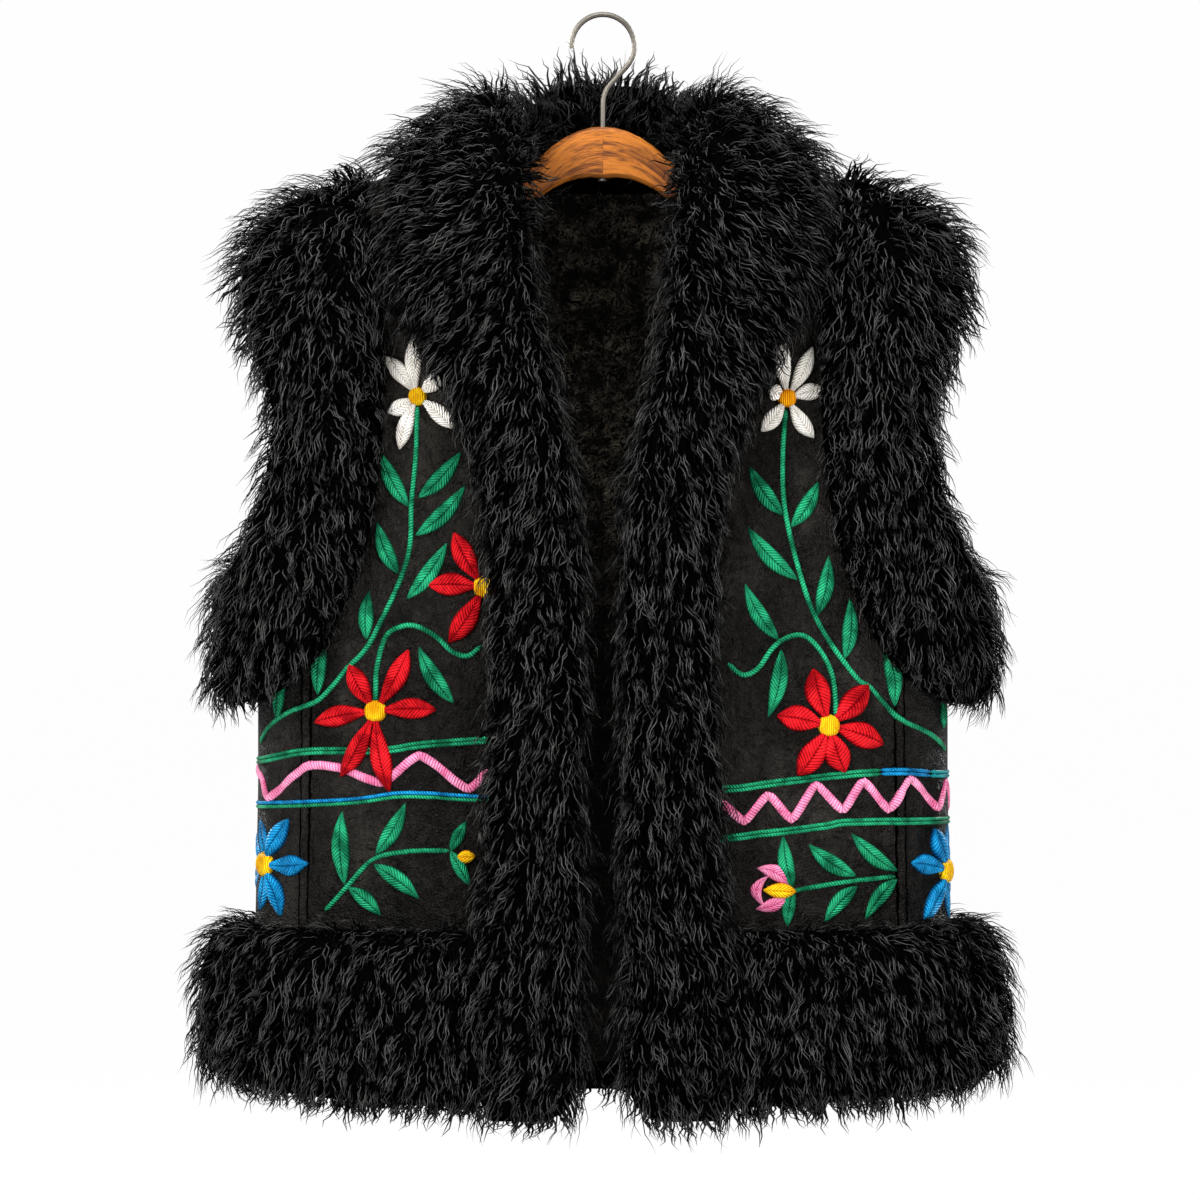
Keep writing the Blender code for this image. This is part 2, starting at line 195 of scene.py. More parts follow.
# %% The pillow of skin, for whole arrays of places at once
SHOULDER_TOP_Z = -0.097
NECK_POINT_X = 0.080
SHOULDER_CURVE = 2.9
HALF_WIDTH = 0.241
HEM_FLARE = 0.005
FLARE_FROM, FLARE_OVER = 0.4, 0.25
FRONT_DEPTH = 0.080
BACK_DEPTH = 0.072
ROUNDNESS = 2.6
SHOULDER_ROUND = 0.060
SKIN = 0.006
HALF_GAP = 0.00018
HEM_SEAM_Z = -0.645
HEM_EDGE_Z = -0.738
HEM_SIDE_RISE = 0.016


def lerp(a, b, f):
    return a + (b - a) * f


def unit(v):
    return v / np.maximum(np.linalg.norm(v, axis=-1, keepdims=True), 1e-9)


def shoulder_z(x):
    return SHOULDER_TOP_Z - SHOULDER_CURVE * np.maximum(np.abs(x) - NECK_POINT_X, 0) ** 2


def run_of(drop):
    """The distance down the skin at a height below the shoulder line, with its sign."""
    size = np.abs(drop)
    curved = SHOULDER_ROUND * np.arccos(np.clip(1 - size / SHOULDER_ROUND, -1, 1))
    straight = SHOULDER_ROUND * math.pi / 2 + size - SHOULDER_ROUND
    return np.copysign(np.where(size < SHOULDER_ROUND, curved, straight), drop)


def angle_of(x):
    share = np.minimum(np.abs(x) / HALF_WIDTH, 1.0)
    return np.copysign(np.degrees(np.arcsin(share ** (ROUNDNESS / 2))), x)


def body_point(angle, run):
    """The place on the skin at an angle in degrees and a distance down from the shoulder."""
    angle, run = np.broadcast_arrays(np.asarray(angle, float), np.asarray(run, float))
    angle, run = np.where(run < 0, 180 - angle, angle), np.abs(run)
    across, ahead = np.sin(np.radians(angle)), np.cos(np.radians(angle))
    flare = HEM_FLARE * np.clip((run - FLARE_FROM) / FLARE_OVER, 0, 1)
    x = np.copysign(np.abs(across) ** (2 / ROUNDNESS), across) * (HALF_WIDTH + flare)
    turn = np.minimum(run / SHOULDER_ROUND, math.pi / 2)
    drop = SHOULDER_ROUND * (1 - np.cos(turn))
    drop = drop + np.maximum(run - SHOULDER_ROUND * math.pi / 2, 0)
    depth = np.where(ahead > 0, FRONT_DEPTH, BACK_DEPTH)
    y = -depth * np.copysign(np.abs(ahead) ** (2 / ROUNDNESS), ahead) * np.sin(turn)
    return np.stack([x, y, shoulder_z(x) - drop], -1)


NORMAL_TURN, NORMAL_STEP = 0.5, 0.0005


def body_normal(angle, run):
    """The way out of the skin, from four places near by."""
    angle, run = np.asarray(angle, float), np.asarray(run, float)
    along = body_point(angle + NORMAL_TURN, run) - body_point(angle - NORMAL_TURN, run)
    down = body_point(angle, run + NORMAL_STEP) - body_point(angle, run - NORMAL_STEP)
    return unit(np.cross(down, along))


def lifted(angle, run, height=0.0):
    return body_point(angle, run) + body_normal(angle, run) * np.asarray(height)[..., None]


def hem_run(angle, z):
    """The distance down the skin to a height, at an angle round the body."""
    x = body_point(angle, run_of(shoulder_z(0) - z))[..., 0]
    return run_of(shoulder_z(x) - z)


# %% Places on the cloth, measured round it and down it
# Across is the distance round the cloth from the middle of the front, + to the wearer's left, and z is
# the height. It reaches right round to the middle of the back.
RING_ANGLES = np.linspace(-200, 200, 3201)


def ring_lengths(flare):
    across, ahead = np.sin(np.radians(RING_ANGLES)), np.cos(np.radians(RING_ANGLES))
    x = np.copysign(np.abs(across) ** (2 / ROUNDNESS), across) * (HALF_WIDTH + flare)
    depth = np.where(ahead > 0, FRONT_DEPTH, BACK_DEPTH)
    y = -depth * np.copysign(np.abs(ahead) ** (2 / ROUNDNESS), ahead)
    length = np.concatenate([[0], np.cumsum(np.hypot(np.diff(x), np.diff(y)))])
    return length - length[len(length) // 2]


PLAIN_RING, FLARED_RING = ring_lengths(0), ring_lengths(HEM_FLARE)
HALF_ROUND = float(np.interp(180, RING_ANGLES, PLAIN_RING))
FLARE_TOP_Z = -0.523
FLARE_THERE = 0.08
ABOVE_FLARE = 0.2


def flare_share(z):
    """How much of the flare the cloth has at a height: 0 above it, 1 where it is whole."""
    return np.clip((FLARE_TOP_Z - z) / FLARE_OVER + FLARE_THERE, 0, 1)


def cloth_place(across, z):
    """The angle and distance of a place given by its distance round the cloth and its height."""
    across, z = np.broadcast_arrays(np.asarray(across, float), np.asarray(z, float))
    plain = np.interp(across, PLAIN_RING, RING_ANGLES)
    flared = np.interp(across, FLARED_RING, RING_ANGLES)
    angle = lerp(plain, flared, flare_share(z))
    run = run_of(shoulder_z(body_point(angle, np.full(angle.shape, ABOVE_FLARE))[..., 0]) - z)
    run = run_of(shoulder_z(body_point(angle, run)[..., 0]) - z)
    return angle, run


def cloth_across(angle):
    return np.interp(angle, RING_ANGLES, PLAIN_RING)


print("round the body", round(2 * HALF_ROUND, 3), "m")

# %% Tables of the sewn edges, and smooth stations between their rows
# Columns: seam_x, seam_drop, edge_x, edge_drop, lean, reach, seam_loft, edge_loft.
COLLAR_BELOW = (
    (0.074, 0.673, 0.040, 0.673, 0.0010, 0.012, 0.026, 0.026),
    (0.079, 0.660, 0.029, 0.660, 0.0010, 0.018, 0.038, 0.038),
    (0.080, 0.638, 0.023, 0.638, 0.0010, 0.018, 0.045, 0.045),
    (0.080, 0.595, 0.022, 0.595, 0.0010, 0.018, 0.047, 0.047),
    (0.080, 0.548, 0.022, 0.548, 0.0010, 0.018, 0.048, 0.048),
)
COLLAR_FRONT = (
    (0.080, 0.548, 0.022, 0.548, 0.0010, 0.018, 0.048, 0.048),
    (0.078, 0.512, 0.022, 0.512, 0.0040, 0.018, 0.048, 0.048),
    (0.070, 0.460, 0.022, 0.460, 0.0170, 0.018, 0.048, 0.048),
    (0.068, 0.370, 0.022, 0.370, 0.0190, 0.018, 0.048, 0.048),
    (0.069, 0.290, 0.022, 0.290, 0.0200, 0.018, 0.048, 0.048),
    (0.078, 0.215, 0.028, 0.220, 0.0210, 0.018, 0.050, 0.050),
    (0.098, 0.150, 0.042, 0.160, 0.0220, 0.020, 0.050, 0.050),
    (0.117, 0.095, 0.057, 0.105, 0.0230, 0.024, 0.050, 0.052),
    (0.126, 0.055, 0.068, 0.060, 0.0200, 0.030, 0.046, 0.053),
    (0.129, 0.026, 0.075, 0.028, 0.0190, 0.034, 0.040, 0.054),
    (0.131, 0.007, 0.079, 0.007, 0.0190, 0.036, 0.035, 0.053),
    (0.131, 0.000, 0.080, 0.000, 0.0180, 0.037, 0.034, 0.053),
)
COLLAR_BACK = (
    (0.131, 0.000, 0.080, 0.000, 0.0180, 0.037, 0.034, 0.053),
    (0.130, -0.010, 0.079, -0.001, 0.0190, 0.039, 0.036, 0.053),
    (0.122, -0.040, 0.076, -0.007, 0.0190, 0.049, 0.041, 0.052),
    (0.098, -0.068, 0.070, -0.013, 0.0200, 0.062, 0.045, 0.047),
    (0.056, -0.083, 0.045, -0.017, 0.0200, 0.072, 0.045, 0.042),
    (0.000, -0.088, 0.000, -0.018, 0.0200, 0.075, 0.045, 0.040),
)
ARMHOLE = (
    (0.178, 0.000, 0.214, 0.000, 0.0140, 0.050, 0.024, 0.032),
    (0.176, 0.012, 0.212, 0.010, 0.0140, 0.053, 0.028, 0.036),
    (0.172, 0.040, 0.208, 0.034, 0.0150, 0.057, 0.038, 0.042),
    (0.166, 0.105, 0.202, 0.090, 0.0150, 0.050, 0.046, 0.046),
    (0.165, 0.185, 0.202, 0.148, 0.0150, 0.038, 0.046, 0.046),
    (0.174, 0.270, 0.213, 0.200, 0.0160, 0.038, 0.046, 0.046),
    (0.204, 0.313, 0.232, 0.231, 0.0160, 0.038, 0.047, 0.047),
    (0.241, 0.302, 0.241, 0.236, 0.0140, 0.036, 0.045, 0.045),
)
HEM_SIZES = (0.019, 0.034, 0.048, 0.048)
ARM_STEPS = 21
CORNER_STEP = 18
SIDE_ROWS = 7
NECK_STEPS = 10
BELOW_STEPS = 5
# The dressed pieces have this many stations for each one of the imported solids.
FINE = 4


def between_rows(rows, places):
    """Catmull-Rom through the rows, every column at once. A place of 1.5 is halfway from row 1 to row 2."""
    rows = np.asarray(rows, float)
    last = len(rows) - 1
    k = np.clip(np.floor(places).astype(int), 0, last - 1)
    f = (places - k).reshape((-1,) + (1,) * (rows.ndim - 1))
    a, b, c, d = rows[np.maximum(k - 1, 0)], rows[k], rows[k + 1], rows[np.minimum(k + 2, last)]
    cubic = (2 * a - 5 * b + 4 * c - d) * f**2 + (3 * b - a - 3 * c + d) * f**3
    return 0.5 * (2 * b + (c - a) * f + cubic)


def stations(table, steps):
    """Rows of seam angle, seam run, edge angle, edge run, and the four sizes of the fur."""
    table = np.asarray(table)
    placed = table.copy()
    placed[:, 0], placed[:, 1] = angle_of(table[:, 0]), run_of(table[:, 1])
    placed[:, 2], placed[:, 3] = angle_of(table[:, 2]), run_of(table[:, 3])
    return between_rows(placed, np.linspace(0, len(table) - 1, steps + 1))


ROWS = CORNER_STEP + SIDE_ROWS
collar_front = stations(COLLAR_FRONT, ROWS * FINE)[::-1]
collar_back = stations(COLLAR_BACK, NECK_STEPS * FINE)
collar_below = stations(COLLAR_BELOW, BELOW_STEPS * FINE)
arm_front = stations(ARMHOLE, ARM_STEPS * FINE)
print("stations", len(collar_front), len(collar_back), len(arm_front))

# %% [markdown]
# ## Finishes shared by several materials
# Three effects come back again and again: soft blotches of wear, the grain of a skin or a fleece, and
# the ridges of satin stitch. Two node groups make them, one for wear and grain together and one for the
# satin; they put out masks and heights, and each material gives them its own sizes.

# %% Node group: cloudy wear and fine grain in one
def new_group(name, inputs, outputs):
    tree = bpy.data.node_groups.new(name, "ShaderNodeTree")
    for label, default in inputs.items():
        socket = tree.interface.new_socket(label, in_out="INPUT", socket_type="NodeSocketFloat")
        socket.default_value = default
    for label in outputs:
        tree.interface.new_socket(label, in_out="OUTPUT", socket_type="NodeSocketFloat")
    return tree, tree.nodes.new("NodeGroupInput"), tree.nodes.new("NodeGroupOutput")


# Fine clouds are this many times finer than the soft ones, and have this share of the wear.
FINE_CLOUDS, FINE_CLOUD_SHARE = 9, 0.35
# Noise below the first value shows no wear, and above the second it shows full wear.
WEAR_SHOWS = (0.42, 0.64)
CREASE_WIDTH, CREASE_DEPTH, PORE_DEPTH = 0.08, 5.0, 0.35


def make_skin_grain():
    """Cloud sizes and grain sizes are in repeats to the metre."""
    tree, given, made = new_group(
        "skin grain", {"Cloud": 14, "Grain": 700, "Crease": 60}, ("Wear", "Height")
    )
    place = add(tree, "ShaderNodeTexCoord").outputs["Object"]
    cloud = add(tree, "ShaderNodeTexNoise", place, given.outputs["Cloud"], 5.0, 0.62)
    finer = calc(tree, "MULTIPLY", given.outputs["Cloud"], FINE_CLOUDS)
    fine = add(tree, "ShaderNodeTexNoise", place, finer, 4.0, 0.7)
    clouds = calc(tree, "MULTIPLY", cloud.outputs[0], 1 - FINE_CLOUD_SHARE)
    mixed = calc(tree, "MULTIPLY_ADD", fine.outputs[0], FINE_CLOUD_SHARE, clouds)
    wear = add(tree, "ShaderNodeMapRange", mixed, *WEAR_SHOWS, 0.0, 1.0, interpolation_type="SMOOTHSTEP")
    pores = add(tree, "ShaderNodeTexVoronoi", place, given.outputs["Grain"], feature="F1")
    crease = add(tree, "ShaderNodeTexNoise", place, given.outputs["Crease"], 5.0, 0.6)
    ridge = calc(tree, "ABSOLUTE", calc(tree, "SUBTRACT", crease.outputs[0], 0.5))
    soft = calc(tree, "MULTIPLY", calc(tree, "MINIMUM", ridge, CREASE_WIDTH), CREASE_DEPTH)
    height = calc(tree, "MULTIPLY_ADD", pores.outputs["Distance"], PORE_DEPTH, soft)
    tree.links.new(wear.outputs[0], made.inputs["Wear"])
    tree.links.new(height, made.inputs["Height"])
    return tree


THREAD_WOBBLE, WOBBLES = 1.1, 260.0
# From the vein outwards, where the painted shade in the vein's groove ends and where the painted shade of the
# pad's rounded edge starts.
VEIN_SHADE_SPAN, VEIN_SHADE, EDGE_SHADE_SPAN = (0.02, 0.16), 0.25, (0.74, 1.0)


def make_satin():
    """Threads lie slanted from a middle vein. The UV map gives millimetres along, and -1 to 1 across."""
    tree, given, made = new_group(
        "satin stitch",
        {"Pitch": 1.5, "Slant": 3.0, "Rim": 0.15},
        ("Thread", "Height", "Vein", "Edge"),
    )
    split = add(tree, "ShaderNodeSeparateXYZ", add(tree, "ShaderNodeUVMap", uv_map="stitch").outputs[0])
    object_place = add(tree, "ShaderNodeTexCoord").outputs["Object"]
    wobble = add(tree, "ShaderNodeTexNoise", object_place, WOBBLES, 3.0, 0.6)
    slanted = calc(tree, "MULTIPLY", calc(tree, "ABSOLUTE", split.outputs["Y"]), given.outputs["Slant"])
    along = calc(tree, "ADD", split.outputs["X"], slanted)
    along = calc(tree, "MULTIPLY_ADD", wobble.outputs[0], THREAD_WOBBLE, along)
    turns = calc(tree, "DIVIDE", along, given.outputs["Pitch"])
    wave = calc(tree, "ABSOLUTE", calc(tree, "SINE", calc(tree, "MULTIPLY", turns, math.pi)))
    thread_number = calc(tree, "FLOOR", turns)
    shade = add(tree, "ShaderNodeTexWhiteNoise", None, thread_number, noise_dimensions="1D")
    off_vein = calc(tree, "ABSOLUTE", split.outputs["Y"])
    rim = given.outputs["Rim"]
    smooth = {"interpolation_type": "SMOOTHSTEP"}
    # Masks of painted shade: in the vein's groove, and where the pad rounds down at its edge.
    vein = add(tree, "ShaderNodeMapRange", off_vein, *VEIN_SHADE_SPAN, VEIN_SHADE, 1.0, **smooth)
    edge = add(tree, "ShaderNodeMapRange", off_vein, *EDGE_SHADE_SPAN, 1.0, rim, **smooth)
    tree.links.new(edge.outputs[0], made.inputs["Edge"])
    tree.links.new(shade.outputs[0], made.inputs["Thread"])
    tree.links.new(vein.outputs[0], made.inputs["Vein"])
    tree.links.new(wave, made.inputs["Height"])
    return tree


SKIN_GRAIN, SATIN = make_skin_grain(), make_satin()
print("groups", SKIN_GRAIN.name, "and", SATIN.name)

# %% A plain way to start a material
def start_material(name, roughness=0.5, **values):
    made = bpy.data.materials.new(name)
    made.use_nodes = True
    shader = made.node_tree.nodes["Principled BSDF"]
    shader.inputs["Roughness"].default_value = roughness
    for label, value in values.items():
        shader.inputs[label.replace("_", " ")].default_value = value
    return made, made.node_tree, shader


def use_group(tree, group, **values):
    node = add(tree, "ShaderNodeGroup", node_tree=group)
    for label, value in values.items():
        node.inputs[label].default_value = value
    return node.outputs


def two_colours(tree, mask, dark, light):
    node = add(tree, "ShaderNodeMix", data_type="RGBA")
    feed(tree, node.inputs["Factor"], mask)
    a, b = [s for s in node.inputs if s.type == "RGBA"]
    a.default_value, b.default_value = (*dark, 1), (*light, 1)
    return next(s for s in node.outputs if s.type == "RGBA")


def bumped(tree, height, distance, strength=1.0):
    node = add(tree, "ShaderNodeBump")
    node.inputs["Strength"].default_value = strength
    node.inputs["Distance"].default_value = distance
    feed(tree, node.inputs["Height"], height)
    return node.outputs[0]


# %% [markdown]
# ## Black leather
# The outside of a worn sheepskin is nearly black but never even: it browns in soft clouds, shows pores
# and fine creases, and shines a little more where it is rubbed. One material carries the clouds in its
# colour and roughness and the grain in its bump. In its colour the clouds are partly painted sheen, and
# fine wrinkles and the light and shade of soft folds are painted in as well. The larger folds are real
# shape in the mesh.

# %% Leather finish
# Dark leather, and worn brown leather in painted light. The mask between them carries wear, painted sheen, and
# painted wrinkle and fold shade.
LEATHER_DARK, LEATHER_WORN_AND_LIT = (0.0005, 0.0004, 0.0004), (0.0200, 0.0178, 0.0152)
LEATHER_ROUGHNESS = (0.30, 0.46)
LEATHER_RELIEF = 0.0036
# Fine wrinkle lines, painted only as thin lines of painted shade: repeats to the metre, half the width of a
# line in the noise, and its shade.
WRINKLES, WRINKLE_WIDTH, WRINKLE_SHADE = 34.0, 0.022, 0.20
# Painted light and shade of soft folds, as streaks stretched down the cloth, with the shades that they go
# between.
FOLD_SHADING_SCALE, FOLD_SHADING_RANGE = (34, 34, 6), (0.45, 1.35)
# The wear clouds, partly real browning and partly painted sheen, are scaled by the gain and lifted by the
# base.
WEAR_AND_SHEEN_GAIN, WEAR_AND_SHEEN_BASE = 0.52, 0.24
# A noise keeps near its middle, so a mask takes its full run between these two values.
NOISE_MIDDLE = (0.36, 0.64)


def make_leather_finish():
    made, tree, shader = start_material("black_leather", 0.5, Specular_IOR_Level=0.07)
    grain = use_group(tree, SKIN_GRAIN, Cloud=13.0, Grain=850.0, Crease=70.0)
    place = add(tree, "ShaderNodeTexCoord").outputs["Object"]
    # Wrinkles painted as thin lines of painted shade, with no relief.
    wrinkle = add(tree, "ShaderNodeTexNoise", place, WRINKLES, 6.0, 0.62, 2.0, 0.7)
    wrinkle = calc(tree, "ABSOLUTE", calc(tree, "SUBTRACT", wrinkle.outputs[0], 0.5))
    line = add(tree, "ShaderNodeMapRange", wrinkle, 0.0, WRINKLE_WIDTH, WRINKLE_SHADE, 1.0).outputs[0]
    # Painted light and shade of soft folds, as streaks down the cloth.
    hanging = add(tree, "ShaderNodeMapping", place)
    hanging.inputs["Scale"].default_value = FOLD_SHADING_SCALE
    fold_shading = add(tree, "ShaderNodeTexNoise", hanging.outputs[0], 1.0, 3.0, 0.55)
    fold_shading = add(tree, "ShaderNodeMapRange", fold_shading.outputs[0], *NOISE_MIDDLE, *FOLD_SHADING_RANGE).outputs[0]
    # Wear clouds, which also stand in for a broad painted sheen.
    tone_and_sheen = calc(tree, "MULTIPLY_ADD", grain["Wear"], WEAR_AND_SHEEN_GAIN, WEAR_AND_SHEEN_BASE)
    shade = calc(tree, "MULTIPLY", calc(tree, "MULTIPLY", tone_and_sheen, line), fold_shading)
    colour = two_colours(tree, shade, LEATHER_DARK, LEATHER_WORN_AND_LIT)
    rough = add(tree, "ShaderNodeMapRange", grain["Wear"], 0.0, 1.0, *LEATHER_ROUGHNESS)
    tree.links.new(colour, shader.inputs["Base Color"])
    tree.links.new(rough.outputs[0], shader.inputs["Roughness"])
    tree.links.new(bumped(tree, grain["Height"], LEATHER_RELIEF), shader.inputs["Normal"])
    return made


# %% Wool finish for the inside
# Dark wool, and the painted highlight on the crests of its curls.
WOOL_DARK, WOOL_CURL_HIGHLIGHT = (0.0006, 0.0005, 0.0004), (0.460, 0.395, 0.305)
WOOL_RELIEF = 0.003
CURLS, CURL_COIL, CURL_WIDTH = 120.0, 2.6, 0.075
# The light that falls in at the neck ends between these heights.
WOOL_DARKENS_FROM, WOOL_DARKENS_TO, WOOL_LOW_SHADE = -0.28, -0.46, 0.08


def make_wool_finish():
    """Short curls: a noise pushed about by another one, so that its ridges coil. The ridges carry a painted
    highlight.
    """
    made, tree, shader = start_material("lining_wool", 0.8, Specular_IOR_Level=0.05)
    place = add(tree, "ShaderNodeTexCoord").outputs["Object"]
    curls = add(tree, "ShaderNodeTexNoise", place, CURLS, 4.0, 0.62, 2.1, CURL_COIL)
    ridge = calc(tree, "ABSOLUTE", calc(tree, "SUBTRACT", curls.outputs[0], 0.5))
    strand = add(tree, "ShaderNodeMapRange", ridge, 0.0, CURL_WIDTH, 1.0, 0.0)
    wear = use_group(tree, SKIN_GRAIN, Cloud=60.0, Grain=500.0, Crease=200.0)["Wear"]
    patchy = calc(tree, "MULTIPLY_ADD", wear, 0.95, 0.05)
    shade = calc(tree, "MULTIPLY", calc(tree, "POWER", strand.outputs[0], 1.4), patchy)
    high = add(tree, "ShaderNodeSeparateXYZ", place).outputs["Z"]
    upper = add(tree, "ShaderNodeMapRange", high, WOOL_DARKENS_TO, WOOL_DARKENS_FROM, WOOL_LOW_SHADE, 1.0)
    shade = calc(tree, "MULTIPLY", shade, upper.outputs[0])
    colour = two_colours(tree, shade, WOOL_DARK, WOOL_CURL_HIGHLIGHT)
    tree.links.new(colour, shader.inputs["Base Color"])
    tree.links.new(bumped(tree, strand.outputs[0], WOOL_RELIEF), shader.inputs["Normal"])
    return made


LEATHER, WOOL = make_leather_finish(), make_wool_finish()
print("finishes", LEATHER.name, WOOL.name)

# %% [markdown]
# ## Folds of the skin
# Heavy sheepskin hangs in few, soft folds: long shallow troughs that run down from the shoulder, and
# short puckers along the seams. Each fold is a row of a table, a line on the cloth with a depth and a
# width. Everything sewn on the skin asks the same function for its height, so it follows the folds.

# %% Folds, in millimetres on the cloth
# Columns: across_1, z_1, across_2, z_2, depth, half_width. A negative depth is a trough.
FRONT_FOLDS = (
    (-178, -500, -150, -640, -1.9, 9),
    (-166, -420, -178, -560, 1.3, 12),
    (-118, -455, -100, -600, -1.6, 8),
    (-104, -520, -92, -640, 1.4, 7),
    (-136, -560, -122, -640, -1.3, 7),
    (-228, -520, -236, -630, -1.4, 8),
    (-190, -560, -196, -640, 1.1, 6),
    (-110, -330, -92, -430, -1.2, 8),
    (-150, -200, -141, -330, -1.5, 10),
    (-96, -565, -140, -600, -0.9, 6),
    (116, -440, 104, -590, -1.6, 9),
    (150, -520, 140, -640, -1.5, 8),
    (172, -420, 184, -560, 1.2, 11),
    (96, -530, 92, -640, 1.3, 7),
    (196, -540, 190, -640, -1.2, 7),
    (232, -520, 240, -630, -1.3, 8),
    (112, -330, 98, -420, -1.1, 8),
    (148, -200, 140, -330, -1.4, 10),
)
BACK_FOLDS = (
    (-420, -240, -380, -560, -2.2, 16),
    (-470, -330, -455, -630, 1.9, 15),
    (-350, -420, -335, -640, -1.8, 12),
    (-300, -500, -312, -640, -1.5, 9),
    (-492, -480, -480, -640, -1.4, 9),
    (405, -250, 372, -520, -2.0, 15),
    (455, -350, 470, -630, -1.9, 14),
    (432, -430, 420, -640, 1.6, 12),
    (340, -440, 330, -640, -1.7, 12),
    (300, -490, 308, -640, -1.3, 9),
)
SEAM_ACROSS = 0.2035
# All depths in the tables are multiplied by this.
FOLD_DEPTH = 1.9
FOLD_SWAY = 0.004
FOLD_FADE = 0.12
SEAM_PUCKER = 0.0006
SEAM_PUCKER_WIDTH = 0.013
SEAM_PUCKER_EVERY = 0.021


def fold_height(across, z):
    """How far the folds stand off the smooth skin, in metres."""
    across, z = np.asarray(across), np.asarray(z)
    height = np.zeros(np.broadcast(across, z).shape)
    for a1, z1, a2, z2, depth, half_width in (*FRONT_FOLDS, *BACK_FOLDS):
        a1, z1, a2, z2, depth, half_width = (v * 0.001 for v in (a1, z1, a2, z2, depth, half_width))
        da, dz = a2 - a1, z2 - z1
        length = math.hypot(da, dz)
        t = ((across - a1) * da + (z - z1) * dz) / length**2
        side = ((across - a1) * dz - (z - z1) * da) / length
        side = side + FOLD_SWAY * np.sin(t * 5 + a1 * 90)
        ends = np.clip(t + FOLD_FADE, 0, 1) * np.clip(1 + FOLD_FADE - t, 0, 1) * 4
        height += FOLD_DEPTH * depth * np.clip(ends, 0, 1) * np.exp(-((side / half_width) ** 2))
    near = np.exp(-(((np.abs(across) - SEAM_ACROSS) / SEAM_PUCKER_WIDTH) ** 2))
    height += SEAM_PUCKER * near * np.sin(z * 2 * math.pi / SEAM_PUCKER_EVERY + 9 * across)
    return height


# %% Leather panels: a wall with leather outside and wool inside
def triangles(mesh):
    return sum(len(p.vertices) - 2 for p in mesh.polygons)


def finish_mesh(name, verts, faces, materials, face_materials=None, stitch=None):
    mesh = bpy.data.meshes.new(name)
    mesh.from_pydata(verts.tolist(), [], faces)
    for finish in materials:
        mesh.materials.append(finish)
    if face_materials is not None:
        mesh.polygons.foreach_set("material_index", face_materials)
    if stitch is not None:
        layer = mesh.uv_layers.new(name="stitch")
        corners = np.empty(len(mesh.loops), np.int32)
        mesh.loops.foreach_get("vertex_index", corners)
        layer.data.foreach_set("uv", stitch[corners].astype(np.float32).ravel())
    mesh.shade_smooth()
    mesh.update()
    made = bpy.data.objects.new(name, mesh)
    bpy.context.scene.collection.objects.link(made)
    return made


def grid_faces(rows, columns, start, flip=False):
    faces = []
    for r in range(rows - 1):
        for c in range(columns - 1):
            a = start + r * columns + c
            quad = (a, a + columns, a + columns + 1, a + 1)
            faces.append(quad[::-1] if flip else quad)
    return faces


def rim_of(rows, columns, start):
    """The vertex numbers round a grid, in order."""
    number = start + np.arange(rows * columns).reshape(rows, columns)
    around = [*number[0], *number[1:, -1], *number[-1, -2::-1], *number[-2:0:-1, 0]]
    return [int(n) for n in around]


def angle_across(near, far, f):
    """The angles that go evenly in x from one angle to another on the same half, front or back."""
    shares = [np.sin(np.radians(a)) ** (2 / ROUNDNESS) for a in (near, far)]
    found = np.degrees(np.arcsin(np.minimum(lerp(*shares, f), 1) ** (ROUNDNESS / 2)))
    return np.where(far <= 90, found, 180 - found)


# Near its edges, a panel rolls down to its seams. Folds show less on the wool side.
ROLL_WIDTH, ROLL_DEPTH = 0.004, 0.0016
FOLD_INSIDE = 0.4


def turned_outwards(mesh):
    """Points the faces of a closed mesh outwards."""
    bm = bmesh.new()
    bm.from_mesh(mesh)
    bmesh.ops.recalc_face_normals(bm, faces=bm.faces)
    bm.to_mesh(mesh)
    bm.free()
    mesh.update()


